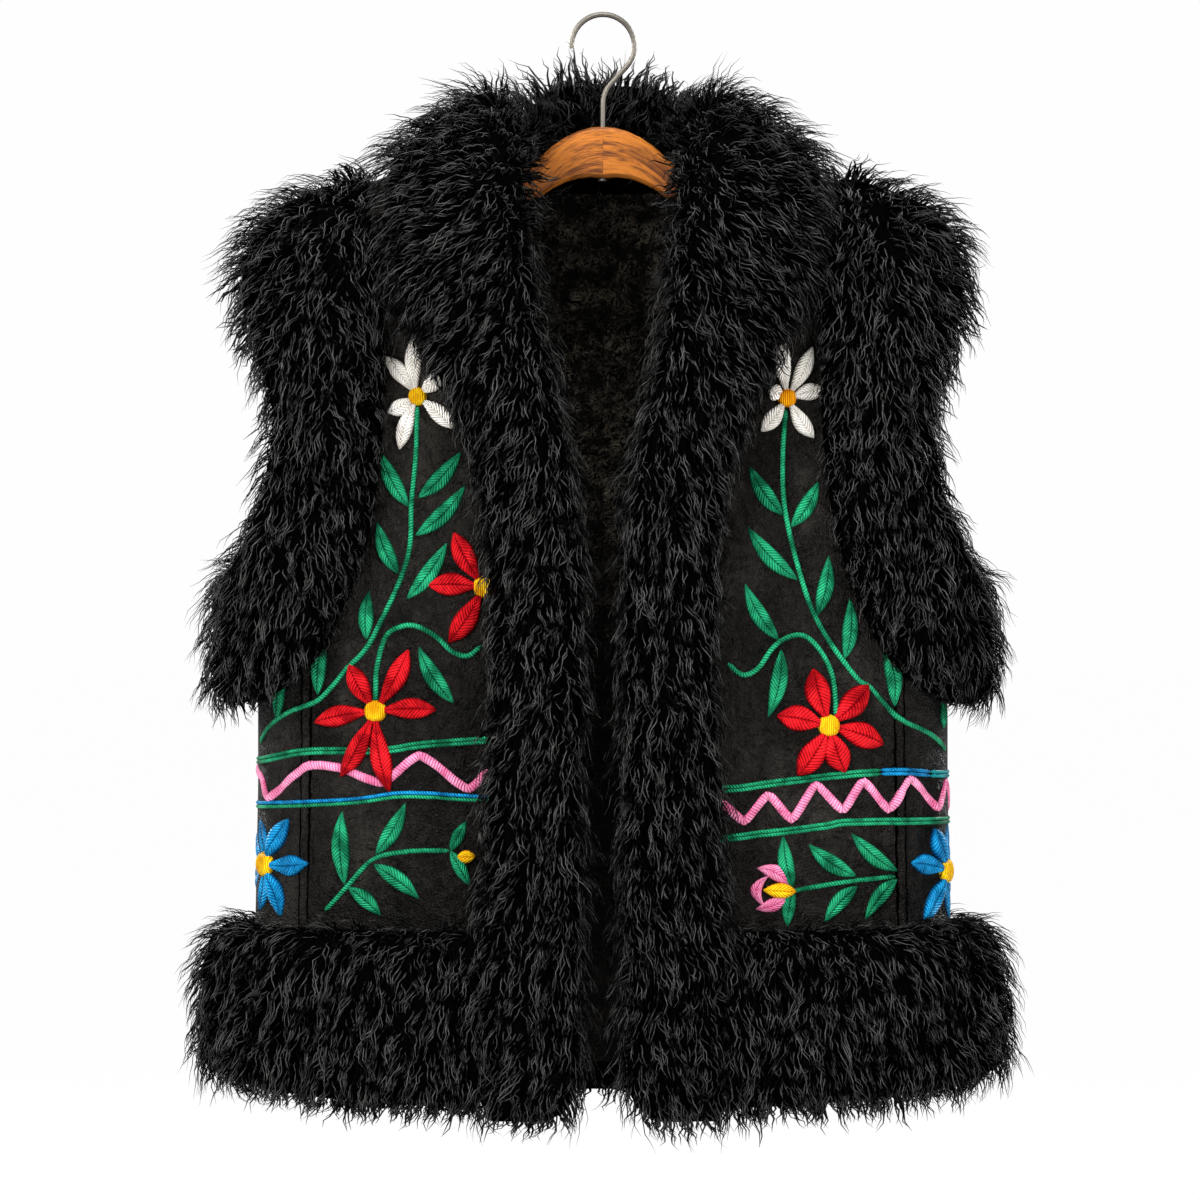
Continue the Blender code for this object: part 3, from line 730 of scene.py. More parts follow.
def leather_panel(name, near, far, columns, round_side=False, mirror=False):
    """near and far hold the panel's two long seams as rows of angle and run, from shoulder to hem."""
    rows = len(near)
    f = np.linspace(0, 1, columns)[None, :]
    level = (np.zeros(rows) if round_side else np.linspace(0, 1, rows))[:, None]
    span = np.linalg.norm(body_point(far[:, 0], far[:, 1]) - body_point(near[:, 0], near[:, 1]), axis=-1)
    inset = (HALF_GAP / span)[:, None]
    g = lerp(inset, 1 - inset, f)
    angle = (lerp if round_side else angle_across)(near[:, :1], far[:, :1], g)
    run = lerp(near[:, 1:], far[:, 1:], g)
    height = lerp(body_point(*near.T)[:, 2:], body_point(*far.T)[:, 2:], g)
    level_run = run_of(shoulder_z(body_point(angle, run)[..., 0]) - height)
    run = lerp(run, level_run, level)
    flat = body_point(angle, run)
    side = -1 if mirror else 1
    fold = fold_height(side * cloth_across(angle), flat[..., 2])
    edge = np.minimum(np.minimum(f, 1 - f) * span[:, None], ROLL_WIDTH) / ROLL_WIDTH
    roll = ROLL_DEPTH * (1 - edge) ** 2
    outer = lifted(angle, run, fold - roll)
    inner = lifted(angle, run, -SKIN + FOLD_INSIDE * fold)
    number = rows * columns
    faces = grid_faces(rows, columns, 0, flip=not mirror) + grid_faces(rows, columns, number, flip=mirror)
    around, under = rim_of(rows, columns, 0), rim_of(rows, columns, number)
    for i in range(len(around)):
        j = (i + 1) % len(around)
        quad = (around[i], around[j], under[j], under[i])
        faces.append(quad if mirror else quad[::-1])
    finishes = [0] * len(faces)
    inside = (rows - 1) * (columns - 1)
    finishes[inside : 2 * inside] = [1] * inside
    verts = np.concatenate([outer.reshape(-1, 3), inner.reshape(-1, 3)])
    verts[:, 0] *= side
    made = finish_mesh(name, verts, faces, (LEATHER, WOOL), finishes)
    turned_outwards(made.data)
    across = np.linalg.norm(np.diff(flat, axis=1), axis=-1)
    down = np.linalg.norm(np.diff(flat, axis=0), axis=-1)
    area = (across[:-1] * 0.5 * (down[:, 1:] + down[:, :-1])).sum()
    return made, (float(across.sum(1).max()), float(down.sum(0).max())), float(area)


def off_shoulder(seam):
    seam = seam.copy()
    seam[0, 1] += HALF_GAP
    return seam


def down_to_hem(place, rows):
    angle, top = place
    bottom = float(hem_run(np.array(angle), HEM_SEAM_Z)) - HALF_GAP
    return np.stack([np.full(rows, angle), np.linspace(top, bottom, rows)], -1)


def turned_back(seam):
    return np.stack([180 - seam[:, 0], seam[:, 1]], -1)


FRONT_COLUMNS, BACK_COLUMNS, SIDE_COLUMNS = 30, 34, 50

arm_seam = arm_front[:, :2]
corner = CORNER_STEP * FINE
below_arm = down_to_hem(arm_seam[corner], SIDE_ROWS * FINE + 1)
outer_seam = off_shoulder(np.concatenate([arm_seam[:corner], below_arm]))
inner_seam = off_shoulder(collar_front[:, :2])
inner_seam[-1, 1] -= HALF_GAP
neck_seam = off_shoulder(np.stack([180 - collar_back[:, 0], -collar_back[:, 1]], -1))
middle_seam = down_to_hem((180, neck_seam[-1, 1]), len(outer_seam) - len(neck_seam) + 1)
back_seam = np.concatenate([neck_seam, middle_seam[1:]])
under = arm_seam[corner:]
under = np.concatenate([under, turned_back(under)[-2::-1]])
tops, bottoms = under, np.array([down_to_hem(p, 2)[1] for p in under])

panels = []
for hand, mirror in (("right", True), ("left", False)):
    for name, near, far, columns in (
        (f"front_{hand}", inner_seam, outer_seam, FRONT_COLUMNS),
        (f"back_{hand}", back_seam, turned_back(outer_seam), BACK_COLUMNS),
    ):
        made, flat, area = leather_panel(name + "_skin", near, far, columns, mirror=mirror)
        panels.append((made, name, flat, area))
    made, flat, area = leather_panel(f"side_{hand}_skin", tops, bottoms, SIDE_COLUMNS, True, mirror)
    panels.append((made, f"side_{hand}", flat, area))
for made, node, flat, area in panels:
    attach(made, "root")
    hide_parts(node)

# %% [markdown]
# ## Welts over the seams
# Each long seam of the skin is covered by a narrow leather welt, stitched down along one side. The
# welt is a ribbon that rides on the folds. Everything sewn later asks for the height of the welt too,
# so the embroidery climbs over it instead of cutting through.

# %% Strips and patches sewn on the skin
MM = 0.001
# Sewn things start this far, in mm, under the surface that they lie on.
BURIED = 0.6
WELT_HALF_WIDTH = 3.2
WELT_HEIGHT = 1.9
WELT_CLEARANCE = 0.5
SEAM_ANGLE = float(outer_seam[-1, 0])
BACK_SEAM_ANGLE = 180 - SEAM_ANGLE


def seam_line(angle, z):
    """How far round the cloth, in mm, a straight seam at an angle runs at each height."""
    plain, flared = np.interp(angle, RING_ANGLES, PLAIN_RING), np.interp(angle, RING_ANGLES, FLARED_RING)
    return lerp(plain, flared, flare_share(z)) / MM


def ground_height(across, z):
    """The height of folds and welts above the smooth skin, in mm, at places given in mm."""
    height = fold_height(across * MM, z * MM) / MM
    for angle in (SEAM_ANGLE, BACK_SEAM_ANGLE, 180):
        off = (np.abs(across) - seam_line(angle, z * MM)) / (WELT_HALF_WIDTH + WELT_CLEARANCE)
        height = height + WELT_HEIGHT * np.exp(-(off**4))
    return height


def sewn_patch(places, heights, stitch, finish, ground=ground_height):
    """A closed solid on the skin. places are in mm, row by row, and heights stand on the ground there."""
    rows, columns = heights.shape
    angle, run = cloth_place(places[..., 0] * MM, places[..., 1] * MM)
    base = ground(places[..., 0], places[..., 1])
    verts = lifted(angle, run, (base + heights) * MM).reshape(-1, 3)
    faces = grid_faces(rows, columns, 0)
    for r in range(rows - 1):
        a, b = r * columns, (r + 1) * columns
        faces.append((a, a + columns - 1, b + columns - 1, b))
    faces += [tuple(range(columns))[::-1], tuple(range((rows - 1) * columns, rows * columns))]
    return verts, faces, stitch.reshape(-1, 2), finish


def joined_patches(name, patches):
    """Makes one piece of several patches, and gives it to the body."""
    finishes = list(dict.fromkeys(p[3] for p in patches))
    verts, faces, stitch, numbers = [], [], [], []
    start = 0
    for points, its_faces, its_stitch, finish in patches:
        verts.append(points)
        stitch.append(its_stitch)
        faces += [tuple(start + v for v in face) for face in its_faces]
        numbers += [finishes.index(finish)] * len(its_faces)
        start += len(points)
    made = finish_mesh(name, np.concatenate(verts), faces, finishes, numbers, np.concatenate(stitch))
    turned_outwards(made.data)
    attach(made, "root")
    return made


def smooth_path(points, step=3.0, roundness=1.0):
    """Places evenly along a curve through the points, every few millimetres."""
    points = np.asarray(points, float)
    fine = np.linspace(0, len(points) - 1, (len(points) - 1) * 16 + 1)
    curve = between_rows(points, fine)
    straight = np.stack([np.interp(fine, np.arange(len(points)), points[:, k]) for k in (0, 1)], -1)
    curve = lerp(straight, curve, roundness)
    length = np.concatenate([[0], np.cumsum(np.linalg.norm(np.diff(curve, axis=0), axis=-1))])
    along = np.linspace(0, length[-1], max(int(length[-1] / step), 4) + 1)
    places = np.stack([np.interp(along, length, curve[:, k]) for k in (0, 1)], -1)
    heading = unit(np.gradient(places, axis=0))
    return places, np.stack([-heading[:, 1], heading[:, 0]], -1), along


# Across a ribbon: the place from edge to edge, and the share of the full height there.
RIBBON_SECTION = np.array([(-1.0, 0.0), (-0.72, 0.72), (-0.25, 1.0), (0.25, 1.0), (0.72, 0.72), (1.0, 0.0)])
# A ribbon's ends are narrowed to this share of its width.
BLUNT_END = 0.45


def sewn_ribbon(points, half_width, high, finish, offset=0.0, roundness=1.0, ground=ground_height):
    """A raised band along a line of points in mm, moved sideways by the offset."""
    places, sideways, along = smooth_path(points, roundness=roundness)
    s, share = RIBBON_SECTION.T
    ends = np.clip(np.minimum(along, along[-1] - along) / (2 * half_width) + BLUNT_END, 0, 1)
    width = half_width * ends[:, None]
    spots = places[:, None, :] + sideways[:, None, :] * (offset + s[None, :] * width)[..., None]
    heights = lerp(-BURIED, high * ends[:, None], share[None, :])
    v = np.broadcast_to(0.2 + 0.4 * (s + 1), heights.shape)
    stitch = np.stack([np.broadcast_to(along[:, None], heights.shape), v], -1)
    return sewn_patch(spots, heights, stitch, finish, ground)


# %% Welts at the front seams, the back seams and the middle of the back
def folds_only(across, z):
    return fold_height(across * MM, z * MM) / MM


WELT_TOP = {"seam": -395, "back_seam": -395, "middle_back": -140}
WELT_FOOT = -652
WELT_STEP = 12
# Strips of painted shadow beside each welt: half width, height, and gap from the welt, in mm.
SHADOW_STRIP_HALF_WIDTH = 0.75
SHADOW_STRIP_HEIGHT = 0.25
SHADOW_STRIP_BESIDE = 0.4


def make_groove_shadow():
    """A dark strip of painted shadow along the line beside a welt where no light gets in."""
    made, tree, shader = start_material("seam_groove_shadow", 0.9, Specular_IOR_Level=0.0)
    shader.inputs["Base Color"].default_value = (0.0002, 0.0002, 0.0002, 1)
    return made


GROOVE_SHADOW = make_groove_shadow()
for hand, side in (("right", -1), ("left", 1)):
    for name, angle in (("seam", SEAM_ANGLE), ("back_seam", BACK_SEAM_ANGLE), ("middle_back", 180)):
        if angle == 180 and side < 0:
            continue
        z = np.arange(WELT_FOOT, WELT_TOP[name], WELT_STEP)
        path = np.stack([side * seam_line(angle, z * MM), z], -1)
        ribbon = sewn_ribbon(path, WELT_HALF_WIDTH, WELT_HEIGHT, LEATHER, ground=folds_only)
        # Dark strips of painted shadow on both sides of the welt.
        groove_shadows = [
            sewn_ribbon(path, SHADOW_STRIP_HALF_WIDTH, SHADOW_STRIP_HEIGHT, GROOVE_SHADOW, offset, ground=folds_only)
            for offset in (-WELT_HALF_WIDTH - SHADOW_STRIP_BESIDE, WELT_HALF_WIDTH + SHADOW_STRIP_BESIDE)
        ]
        label = name if angle == 180 else f"{name}_{hand}"
        joined_patches(f"welt_{label}", [ribbon, *groove_shadows])
print("welts", WELT_HALF_WIDTH * 2, "mm wide")

# %% Geometry Nodes: running stitches along a line
STITCH_EVERY = 0.0042
STITCH_LENGTH = 0.0027
STITCH_THICKNESS = 0.00042


def make_stitch_tree():
    tree = bpy.data.node_groups.new("running stitch", "GeometryNodeTree")
    tree.is_modifier = True
    sockets = {
        "Line": "Geometry", "Every": "Float", "Length": "Float", "Thickness": "Float", "Finish": "Material",
    }
    for label, kind in sockets.items():
        tree.interface.new_socket(label, in_out="INPUT", socket_type="NodeSocket" + kind)
    tree.interface.new_socket("Stitches", in_out="OUTPUT", socket_type="NodeSocketGeometry")
    given = tree.nodes.new("NodeGroupInput").outputs
    made = tree.nodes.new("NodeGroupOutput")
    curve = add(tree, "GeometryNodeMeshToCurve")
    feed(tree, curve.inputs["Mesh"], given["Line"])
    spots = add(tree, "GeometryNodeCurveToPoints", mode="LENGTH")
    feed(tree, spots.inputs["Curve"], curve.outputs[0])
    feed(tree, spots.inputs["Length"], given["Every"])
    bead = add(tree, "GeometryNodeMeshUVSphere")
    bead.inputs["Segments"].default_value = 6
    bead.inputs["Rings"].default_value = 4
    bead.inputs["Radius"].default_value = 1.0
    size = add(tree, "ShaderNodeCombineXYZ")
    feed(tree, size.inputs["X"], given["Thickness"])
    feed(tree, size.inputs["Y"], given["Thickness"])
    feed(tree, size.inputs["Z"], calc(tree, "MULTIPLY", given["Length"], 0.5))
    placed = add(tree, "GeometryNodeInstanceOnPoints")
    feed(tree, placed.inputs["Points"], spots.outputs["Points"])
    feed(tree, placed.inputs["Instance"], bead.outputs["Mesh"])
    feed(tree, placed.inputs["Rotation"], spots.outputs["Rotation"])
    feed(tree, placed.inputs["Scale"], size.outputs[0])
    real = add(tree, "GeometryNodeRealizeInstances", placed.outputs[0])
    smooth = add(tree, "GeometryNodeSetShadeSmooth", real.outputs[0])
    dressed = add(tree, "GeometryNodeSetMaterial")
    feed(tree, dressed.inputs["Geometry"], smooth.outputs[0])
    feed(tree, dressed.inputs["Material"], given["Finish"])
    tree.links.new(dressed.outputs[0], made.inputs["Stitches"])
    return tree


STITCH_TREE = make_stitch_tree()


def running_stitch(name, path, height, finish):
    """path is in mm on the cloth. The line is drawn as plain edges, and the tree sews along it."""
    angle, run = cloth_place(path[:, 0] * MM, path[:, 1] * MM)
    points = lifted(angle, run, (folds_only(path[:, 0], path[:, 1]) + height) * MM)
    mesh = bpy.data.meshes.new(name)
    mesh.from_pydata(points.tolist(), [(i, i + 1) for i in range(len(points) - 1)], [])
    line = bpy.data.objects.new(name, mesh)
    bpy.context.scene.collection.objects.link(line)
    line.data = run_tree(line, STITCH_TREE, {
        "Every": STITCH_EVERY, "Length": STITCH_LENGTH, "Thickness": STITCH_THICKNESS, "Finish": finish,
    })
    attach(line, "root")


def make_seam_thread():
    made, tree, shader = start_material("seam_thread", 0.7, Specular_IOR_Level=0.1)
    place = add(tree, "ShaderNodeTexCoord").outputs["Object"]
    shade = add(tree, "ShaderNodeTexNoise", place, 300.0, 2.0, 0.5)
    colour = two_colours(tree, shade.outputs[0], (0.003, 0.0025, 0.002), (0.012, 0.011, 0.0095))
    tree.links.new(colour, shader.inputs["Base Color"])
    return made


SEAM_THREAD = make_seam_thread()
STITCH_FROM_MIDDLE = 2.2
STITCH_HEIGHT = WELT_HEIGHT * 0.8
for hand, side in (("right", -1), ("left", 1)):
    for name, angle in (("seam", SEAM_ANGLE), ("back_seam", BACK_SEAM_ANGLE)):
        z = np.arange(WELT_FOOT, WELT_TOP[name], WELT_STEP / 2)
        across = side * (seam_line(angle, z * MM) - STITCH_FROM_MIDDLE)
        running_stitch(f"stitches_{name}_{hand}", np.stack([across, z], -1), STITCH_HEIGHT, SEAM_THREAD)
z = np.arange(WELT_FOOT, WELT_TOP["middle_back"], WELT_STEP / 2)
middle = np.stack([seam_line(180, z * MM) - STITCH_FROM_MIDDLE, z], -1)
running_stitch("stitches_middle_back", middle, STITCH_HEIGHT, SEAM_THREAD)
print("stitches every", round(STITCH_EVERY / MM, 1), "mm")

# %% [markdown]
# ## Padded satin-stitch embroidery
# Petals and leaves are raised pads with a groove down the middle, and the threads slant away from it.
# Each pad is a small closed solid that follows the cloth. Its own map gives millimetres along and the
# side from the vein, and the satin group turns that into threads. One table holds each kind of motif.

# %% Thread colours
def linear(byte_colour):
    """The linear values, as a shader needs them, of a colour given as a screen shows it, 0 to 255."""
    return tuple((c / 255 / 12.92) if c <= 10 else ((c / 255 + 0.055) / 1.055) ** 2.4 for c in byte_colour)


# Each thread has a deep and a light shade. The mix between them carries painted highlight on the crowns,
# painted shade in the grooves, vein and edges, and each thread's own luck.
THREADS = {
    "red": ((78, 0, 4), (243, 34, 42)),
    "green": ((0, 22, 12), (44, 176, 122)),
    "teal": ((0, 52, 62), (36, 166, 170)),
    "pink": ((176, 54, 104), (255, 168, 204)),
    "blue": ((0, 38, 80), (34, 164, 228)),
    "yellow": ((186, 104, 2), (255, 218, 34)),
    "orange": ((186, 84, 2), (255, 180, 24)),
    "white": ((200, 192, 180), (255, 253, 248)),
}
THREAD_ROUGHNESS, THREAD_SHINE, THREAD_RELIEF = 0.40, 0.08, 0.0010
# How much of the light shade comes from a thread's crown, which is painted highlight with painted shade in the
# grooves between threads, from its own luck, and everywhere.
CROWN_LIGHT, OWN_LIGHT, EVEN_LIGHT = 0.30, 0.16, 0.17
# Patches of painted sheen and shade, which also vary the thread's tone: repeats to the metre and the shades
# between.
SHEEN_PATCHES, SHEEN_PATCH_SHADES = 75.0, (0.38, 1.50)
# Pitch in mm, slant in mm from the vein to the edge, and the painted shade at the edge.
PETAL_STITCH = {"pitch": 2.5, "slant": 6.2, "rim": 0.15}
LINE_STITCH = {"pitch": 2.0, "slant": 2.0, "rim": 0.50}


def make_thread(name, deep, light, pitch, slant, rim):
    made, tree, shader = start_material(
        name, THREAD_ROUGHNESS, Specular_IOR_Level=THREAD_SHINE, Specular_Tint=(*linear(light), 1)
    )
    satin = use_group(tree, SATIN, Pitch=pitch, Slant=slant, Rim=rim)
    own = calc(tree, "MULTIPLY", satin["Thread"], OWN_LIGHT)
    # A thread's crown is painted highlight, and the grooves between threads are painted shade.
    lit = calc(tree, "MULTIPLY_ADD", satin["Height"], CROWN_LIGHT, own)
    lit = calc(tree, "ADD", lit, EVEN_LIGHT)
    place = add(tree, "ShaderNodeTexCoord").outputs["Object"]
    # Patches of painted sheen and shade.
    tone_and_sheen = add(tree, "ShaderNodeTexNoise", place, SHEEN_PATCHES, 3.0, 0.6)
    tone_and_sheen = add(tree, "ShaderNodeMapRange", tone_and_sheen.outputs[0], *NOISE_MIDDLE, *SHEEN_PATCH_SHADES).outputs[0]
    # Painted shade in the vein's groove and at the pad's rounded edge.
    lit = calc(tree, "MULTIPLY", calc(tree, "MULTIPLY", lit, satin["Vein"]), satin["Edge"])
    lit = calc(tree, "MULTIPLY", lit, tone_and_sheen)
    colour = two_colours(tree, lit, linear(deep), linear(light))
    tree.links.new(colour, shader.inputs["Base Color"])
    tree.links.new(bumped(tree, satin["Height"], THREAD_RELIEF), shader.inputs["Normal"])
    return made


PETAL_THREAD, LINE_THREAD = {}, {}
for colour, (deep, light) in THREADS.items():
    PETAL_THREAD[colour] = make_thread(f"thread_{colour}", deep, light, **PETAL_STITCH)
    LINE_THREAD[colour] = make_thread(f"cord_{colour}", deep, light, **LINE_STITCH)
print("threads", ", ".join(THREADS))

# %% Petals, leaves and round centres
PAD_ROWS = 17
PAD_COLUMNS = 11
PUFF = 2.9
VEIN_DEPTH = 1.5
VEIN_WIDTH = 0.15
# The outline from base to tip: its cut ends, where it is widest, and how full it is.
PAD_ENDS, LEAF_WIDEST, PETAL_WIDEST, FULLNESS = (0.012, 0.988), 0.9, 1.3, 0.82


def sewn_pad(base, tip, half_width, finish, bow, widest=LEAF_WIDEST, puff=PUFF, from_base=0.0, raise_by=0.0):
    """A pointed pad from base to tip, both in mm, that may bow sideways by a share of its length."""
    base, tip = np.array(base, float), np.array(tip, float)
    length = np.linalg.norm(tip - base)
    heading = (tip - base) / length
    sideways = np.array([-heading[1], heading[0]])
    t = np.linspace(0, 1, PAD_ROWS)[:, None]
    s = np.sin(np.linspace(-1, 1, PAD_COLUMNS) * math.pi / 2)[None, :]
    spread = np.maximum(np.sin(math.pi * np.clip(t, *PAD_ENDS) ** widest), 0) ** FULLNESS
    spread = np.maximum(spread, from_base * (1 - t))
    middle = base + heading * length * t + sideways * (bow * length * 4 * t * (1 - t))
    places = middle[:, None, :] + sideways * (s * spread * half_width)[..., None]
    dome = np.sqrt(np.maximum(1 - s**2, 0)) * spread**0.45
    groove = np.exp(-((s / VEIN_WIDTH) ** 2)) * VEIN_DEPTH * np.minimum(spread * 1.2, 1)
    skirt = np.minimum((1 - s**2) * 5, 1) * np.minimum(spread * 8, 1)
    heights = -BURIED + raise_by * skirt + (puff + BURIED) * dome - groove * dome
    own_start = abs(base[0]) * 3.7 + abs(base[1]) * 1.3
    stitch = np.stack(np.broadcast_arrays(t * length + own_start, s), -1)
    return sewn_patch(places, heights, stitch, finish)


DISC_ROWS = 11
DISC_HEIGHT = 4.4
DISC_SPREAD = 1.15
DISC_THREAD = 1.9


def sewn_disc(centre, radius, finish):
    """A round centre, laid as a grid squeezed to a circle."""
    u = np.linspace(-1, 1, DISC_ROWS)
    a, b = np.meshgrid(u, u, indexing="ij")
    x, y = a * np.sqrt(1 - b**2 / 2), b * np.sqrt(1 - a**2 / 2)
    radius = radius * DISC_SPREAD
    places = np.stack([centre[0] + x * radius, centre[1] + y * radius], -1)
    edge = np.sqrt(np.clip(1 - (x**2 + y**2), 0, 1))
    heights = lerp(-BURIED, DISC_HEIGHT, np.minimum(edge * 1.25, 1) ** 0.8)
    stitch = np.stack([x * radius * DISC_THREAD, np.full(x.shape, 0.5)], -1)
    verts, _, stitch, finish = sewn_patch(places, heights, stitch, finish)
    faces = grid_faces(DISC_ROWS, DISC_ROWS, 0) + [tuple(rim_of(DISC_ROWS, DISC_ROWS, 0))[::-1]]
    return verts, faces, stitch, finish


# %% Motifs on the wearer's right, in millimetres round the cloth and up from the hook
# Flowers: name, petal colour, centre colour, centre, centre radius, petal half width, petal tips.
FLOWERS = (
    ("daisy_right", "white", "yellow", (-127, -269), 6.0, 6.0,
     ((-130, -229), (-110, -253), (-102, -291), (-140, -305), (-148, -280), (-151, -241))),
    ("red_half_right", "red", "yellow", (-81, -399), 7.0, 8.2,
     ((-102, -362), (-119, -398), (-105, -437))),
    ("red_flower_right", "red", "yellow", (-156, -484), 7.0, 7.5,
     ((-174, -452), (-133, -442), (-114, -483), (-146, -539), (-181, -529), (-200, -492))),
    ("blue_flower_right", "blue", "yellow", (-246, -591), 8.0, 7.6,
     ((-222, -559), (-205, -589), (-228, -626), (-256, -560), (-255, -624), (-284, -572), (-288, -606))),
    ("daisy_left", "white", "orange", (126, -270), 6.0, 6.0,
     ((123, -230), (144, -235), (153, -264), (145, -297), (108, -293), (113, -265))),
    ("red_flower_left", "red", "yellow", (155, -494), 7.0, 9.2,
     ((144, -455), (183, -466), (194, -507), (166, -526), (133, -528), (119, -487))),
    ("blue_flower_left", "blue", "yellow", (254, -596), 8.0, 7.6,
     ((239, -566), (216, -589), (227, -628), (262, -562), (290, -580), (292, -612), (262, -630))),
)
# Leaves: name of the piece, colour, base, tip, half width, bow.
LEAVES = (
    ("vine_right", "green", (-133, -344), (-153, -307), 6.2, 0.05),
    ("vine_right", "green", (-126, -338), (-97, -307), 6.2, -0.05),
    ("vine_right", "green", (-128, -364), (-94, -330), 6.2, -0.06),
    ("vine_right", "green", (-134, -407), (-107, -369), 6.2, -0.05),
    ("vine_right", "green", (-140, -390), (-155, -355), 6.0, 0.06),
    ("vine_right", "green", (-162, -435), (-161, -402), 5.6, 0.04),
    ("vine_right", "green", (-198, -473), (-193, -435), 6.0, 0.05),
    ("vine_right", "green", (-232, -491), (-226, -454), 5.8, 0.04),
    ("vine_right", "green", (-102, -478), (-126, -440), 6.4, 0.06),
    ("sprig_right", "green", (-178, -603), (-180, -553), 6.4, 0.04),
    ("sprig_right", "green", (-156, -582), (-135, -547), 6.0, -0.05),
    ("sprig_right", "green", (-158, -589), (-126, -612), 6.2, 0.05),
    ("sprig_right", "green", (-175, -605), (-153, -624), 5.4, 0.05),
    ("sprig_right", "green", (-104, -579), (-93, -559), 4.6, 0.0),
    ("sprig_right", "green", (-104, -579), (-90, -603), 4.8, 0.0),
    ("sprig_right", "yellow", (-99, -583), (-86, -583), 4.6, 0.0),
    ("vine_left", "green", (123, -350), (100, -317), 6.2, 0.05),
    ("vine_left", "green", (129, -358), (148, -327), 6.0, -0.05),
    ("vine_left", "green", (133, -394), (99, -358), 6.2, 0.06),
    ("vine_left", "green", (147, -418), (155, -378), 6.0, -0.05),
    ("vine_left", "green", (120, -435), (97, -397), 6.0, 0.06),
    ("vine_left", "green", (166, -448), (170, -407), 5.8, -0.05),
    ("vine_left", "green", (203, -481), (195, -433), 6.2, -0.05),
    ("vine_left", "green", (251, -497), (249, -477), 4.6, 0.0),
    ("vine_left", "green", (122, -442), (113, -488), 6.0, 0.06),
    ("sprig_left", "green", (130, -605), (123, -569), 5.8, 0.05),
    ("sprig_left", "green", (130, -605), (126, -631), 5.2, -0.05),
    ("sprig_left", "green", (174, -597), (141, -575), 6.2, 0.06),
    ("sprig_left", "green", (205, -594), (171, -568), 6.2, 0.06),
    ("sprig_left", "green", (175, -604), (152, -628), 6.0, -0.06),
    ("sprig_left", "green", (205, -600), (181, -627), 6.0, -0.06),
    ("tulip_left", "pink", (113, -596), (111, -618), 4.2, -0.36),
    ("tulip_left", "pink", (127, -602), (105, -591), 5.4, -0.12),
    ("tulip_left", "pink", (126, -611), (104, -619), 4.8, 0.06),
    ("tulip_left", "yellow", (132, -607), (109, -606), 5.6, 0.0),
)
BAND_END = 342
# Half widths of the lines, and how far the two rows of a double line lie from its middle.
STEM, DOUBLE, ZIGZAG, TWIG = 2.0, 1.45, 3.4, 1.9
BESIDE = 1.35
RIGHT_TOP = (
    (-BAND_END, -520), (-296, -520), (-253, -519), (-206, -512), (-153, -511), (-125, -507), (-87, -504),
    (-72, -503),
)
RIGHT_LOW = (
    (-BAND_END, -552), (-296, -551), (-252, -550), (-176, -546), (-136, -541), (-90, -543), (-74, -543),
)
RIGHT_ZIGZAG = (
    (-BAND_END, -545), (-320, -526), (-302, -547), (-282, -524), (-253, -531), (-243, -545), (-206, -522),
    (-182, -523), (-151, -533), (-125, -514), (-92, -537), (-78, -524),
)
LEFT_TOP = ((76, -537), (94, -536), (133, -531), (173, -527), (192, -526))
LEFT_TOP_SIDE = ((192, -526), (212, -526), (236, -528))
LEFT_TOP_BACK = ((236, -528), (262, -529), (300, -529), (BAND_END, -529))
LEFT_LOW = ((78, -571), (96, -569), (150, -563), (173, -560), (259, -561), (300, -562), (BAND_END, -562))
LEFT_ZIGZAG = (
    (80, -545), (96, -559), (113, -541), (129, -558), (146, -534), (165, -552), (179, -532), (199, -552),
    (216, -531), (244, -552), (257, -534), (280, -553), (298, -535), (318, -553), (BAND_END, -538),
)
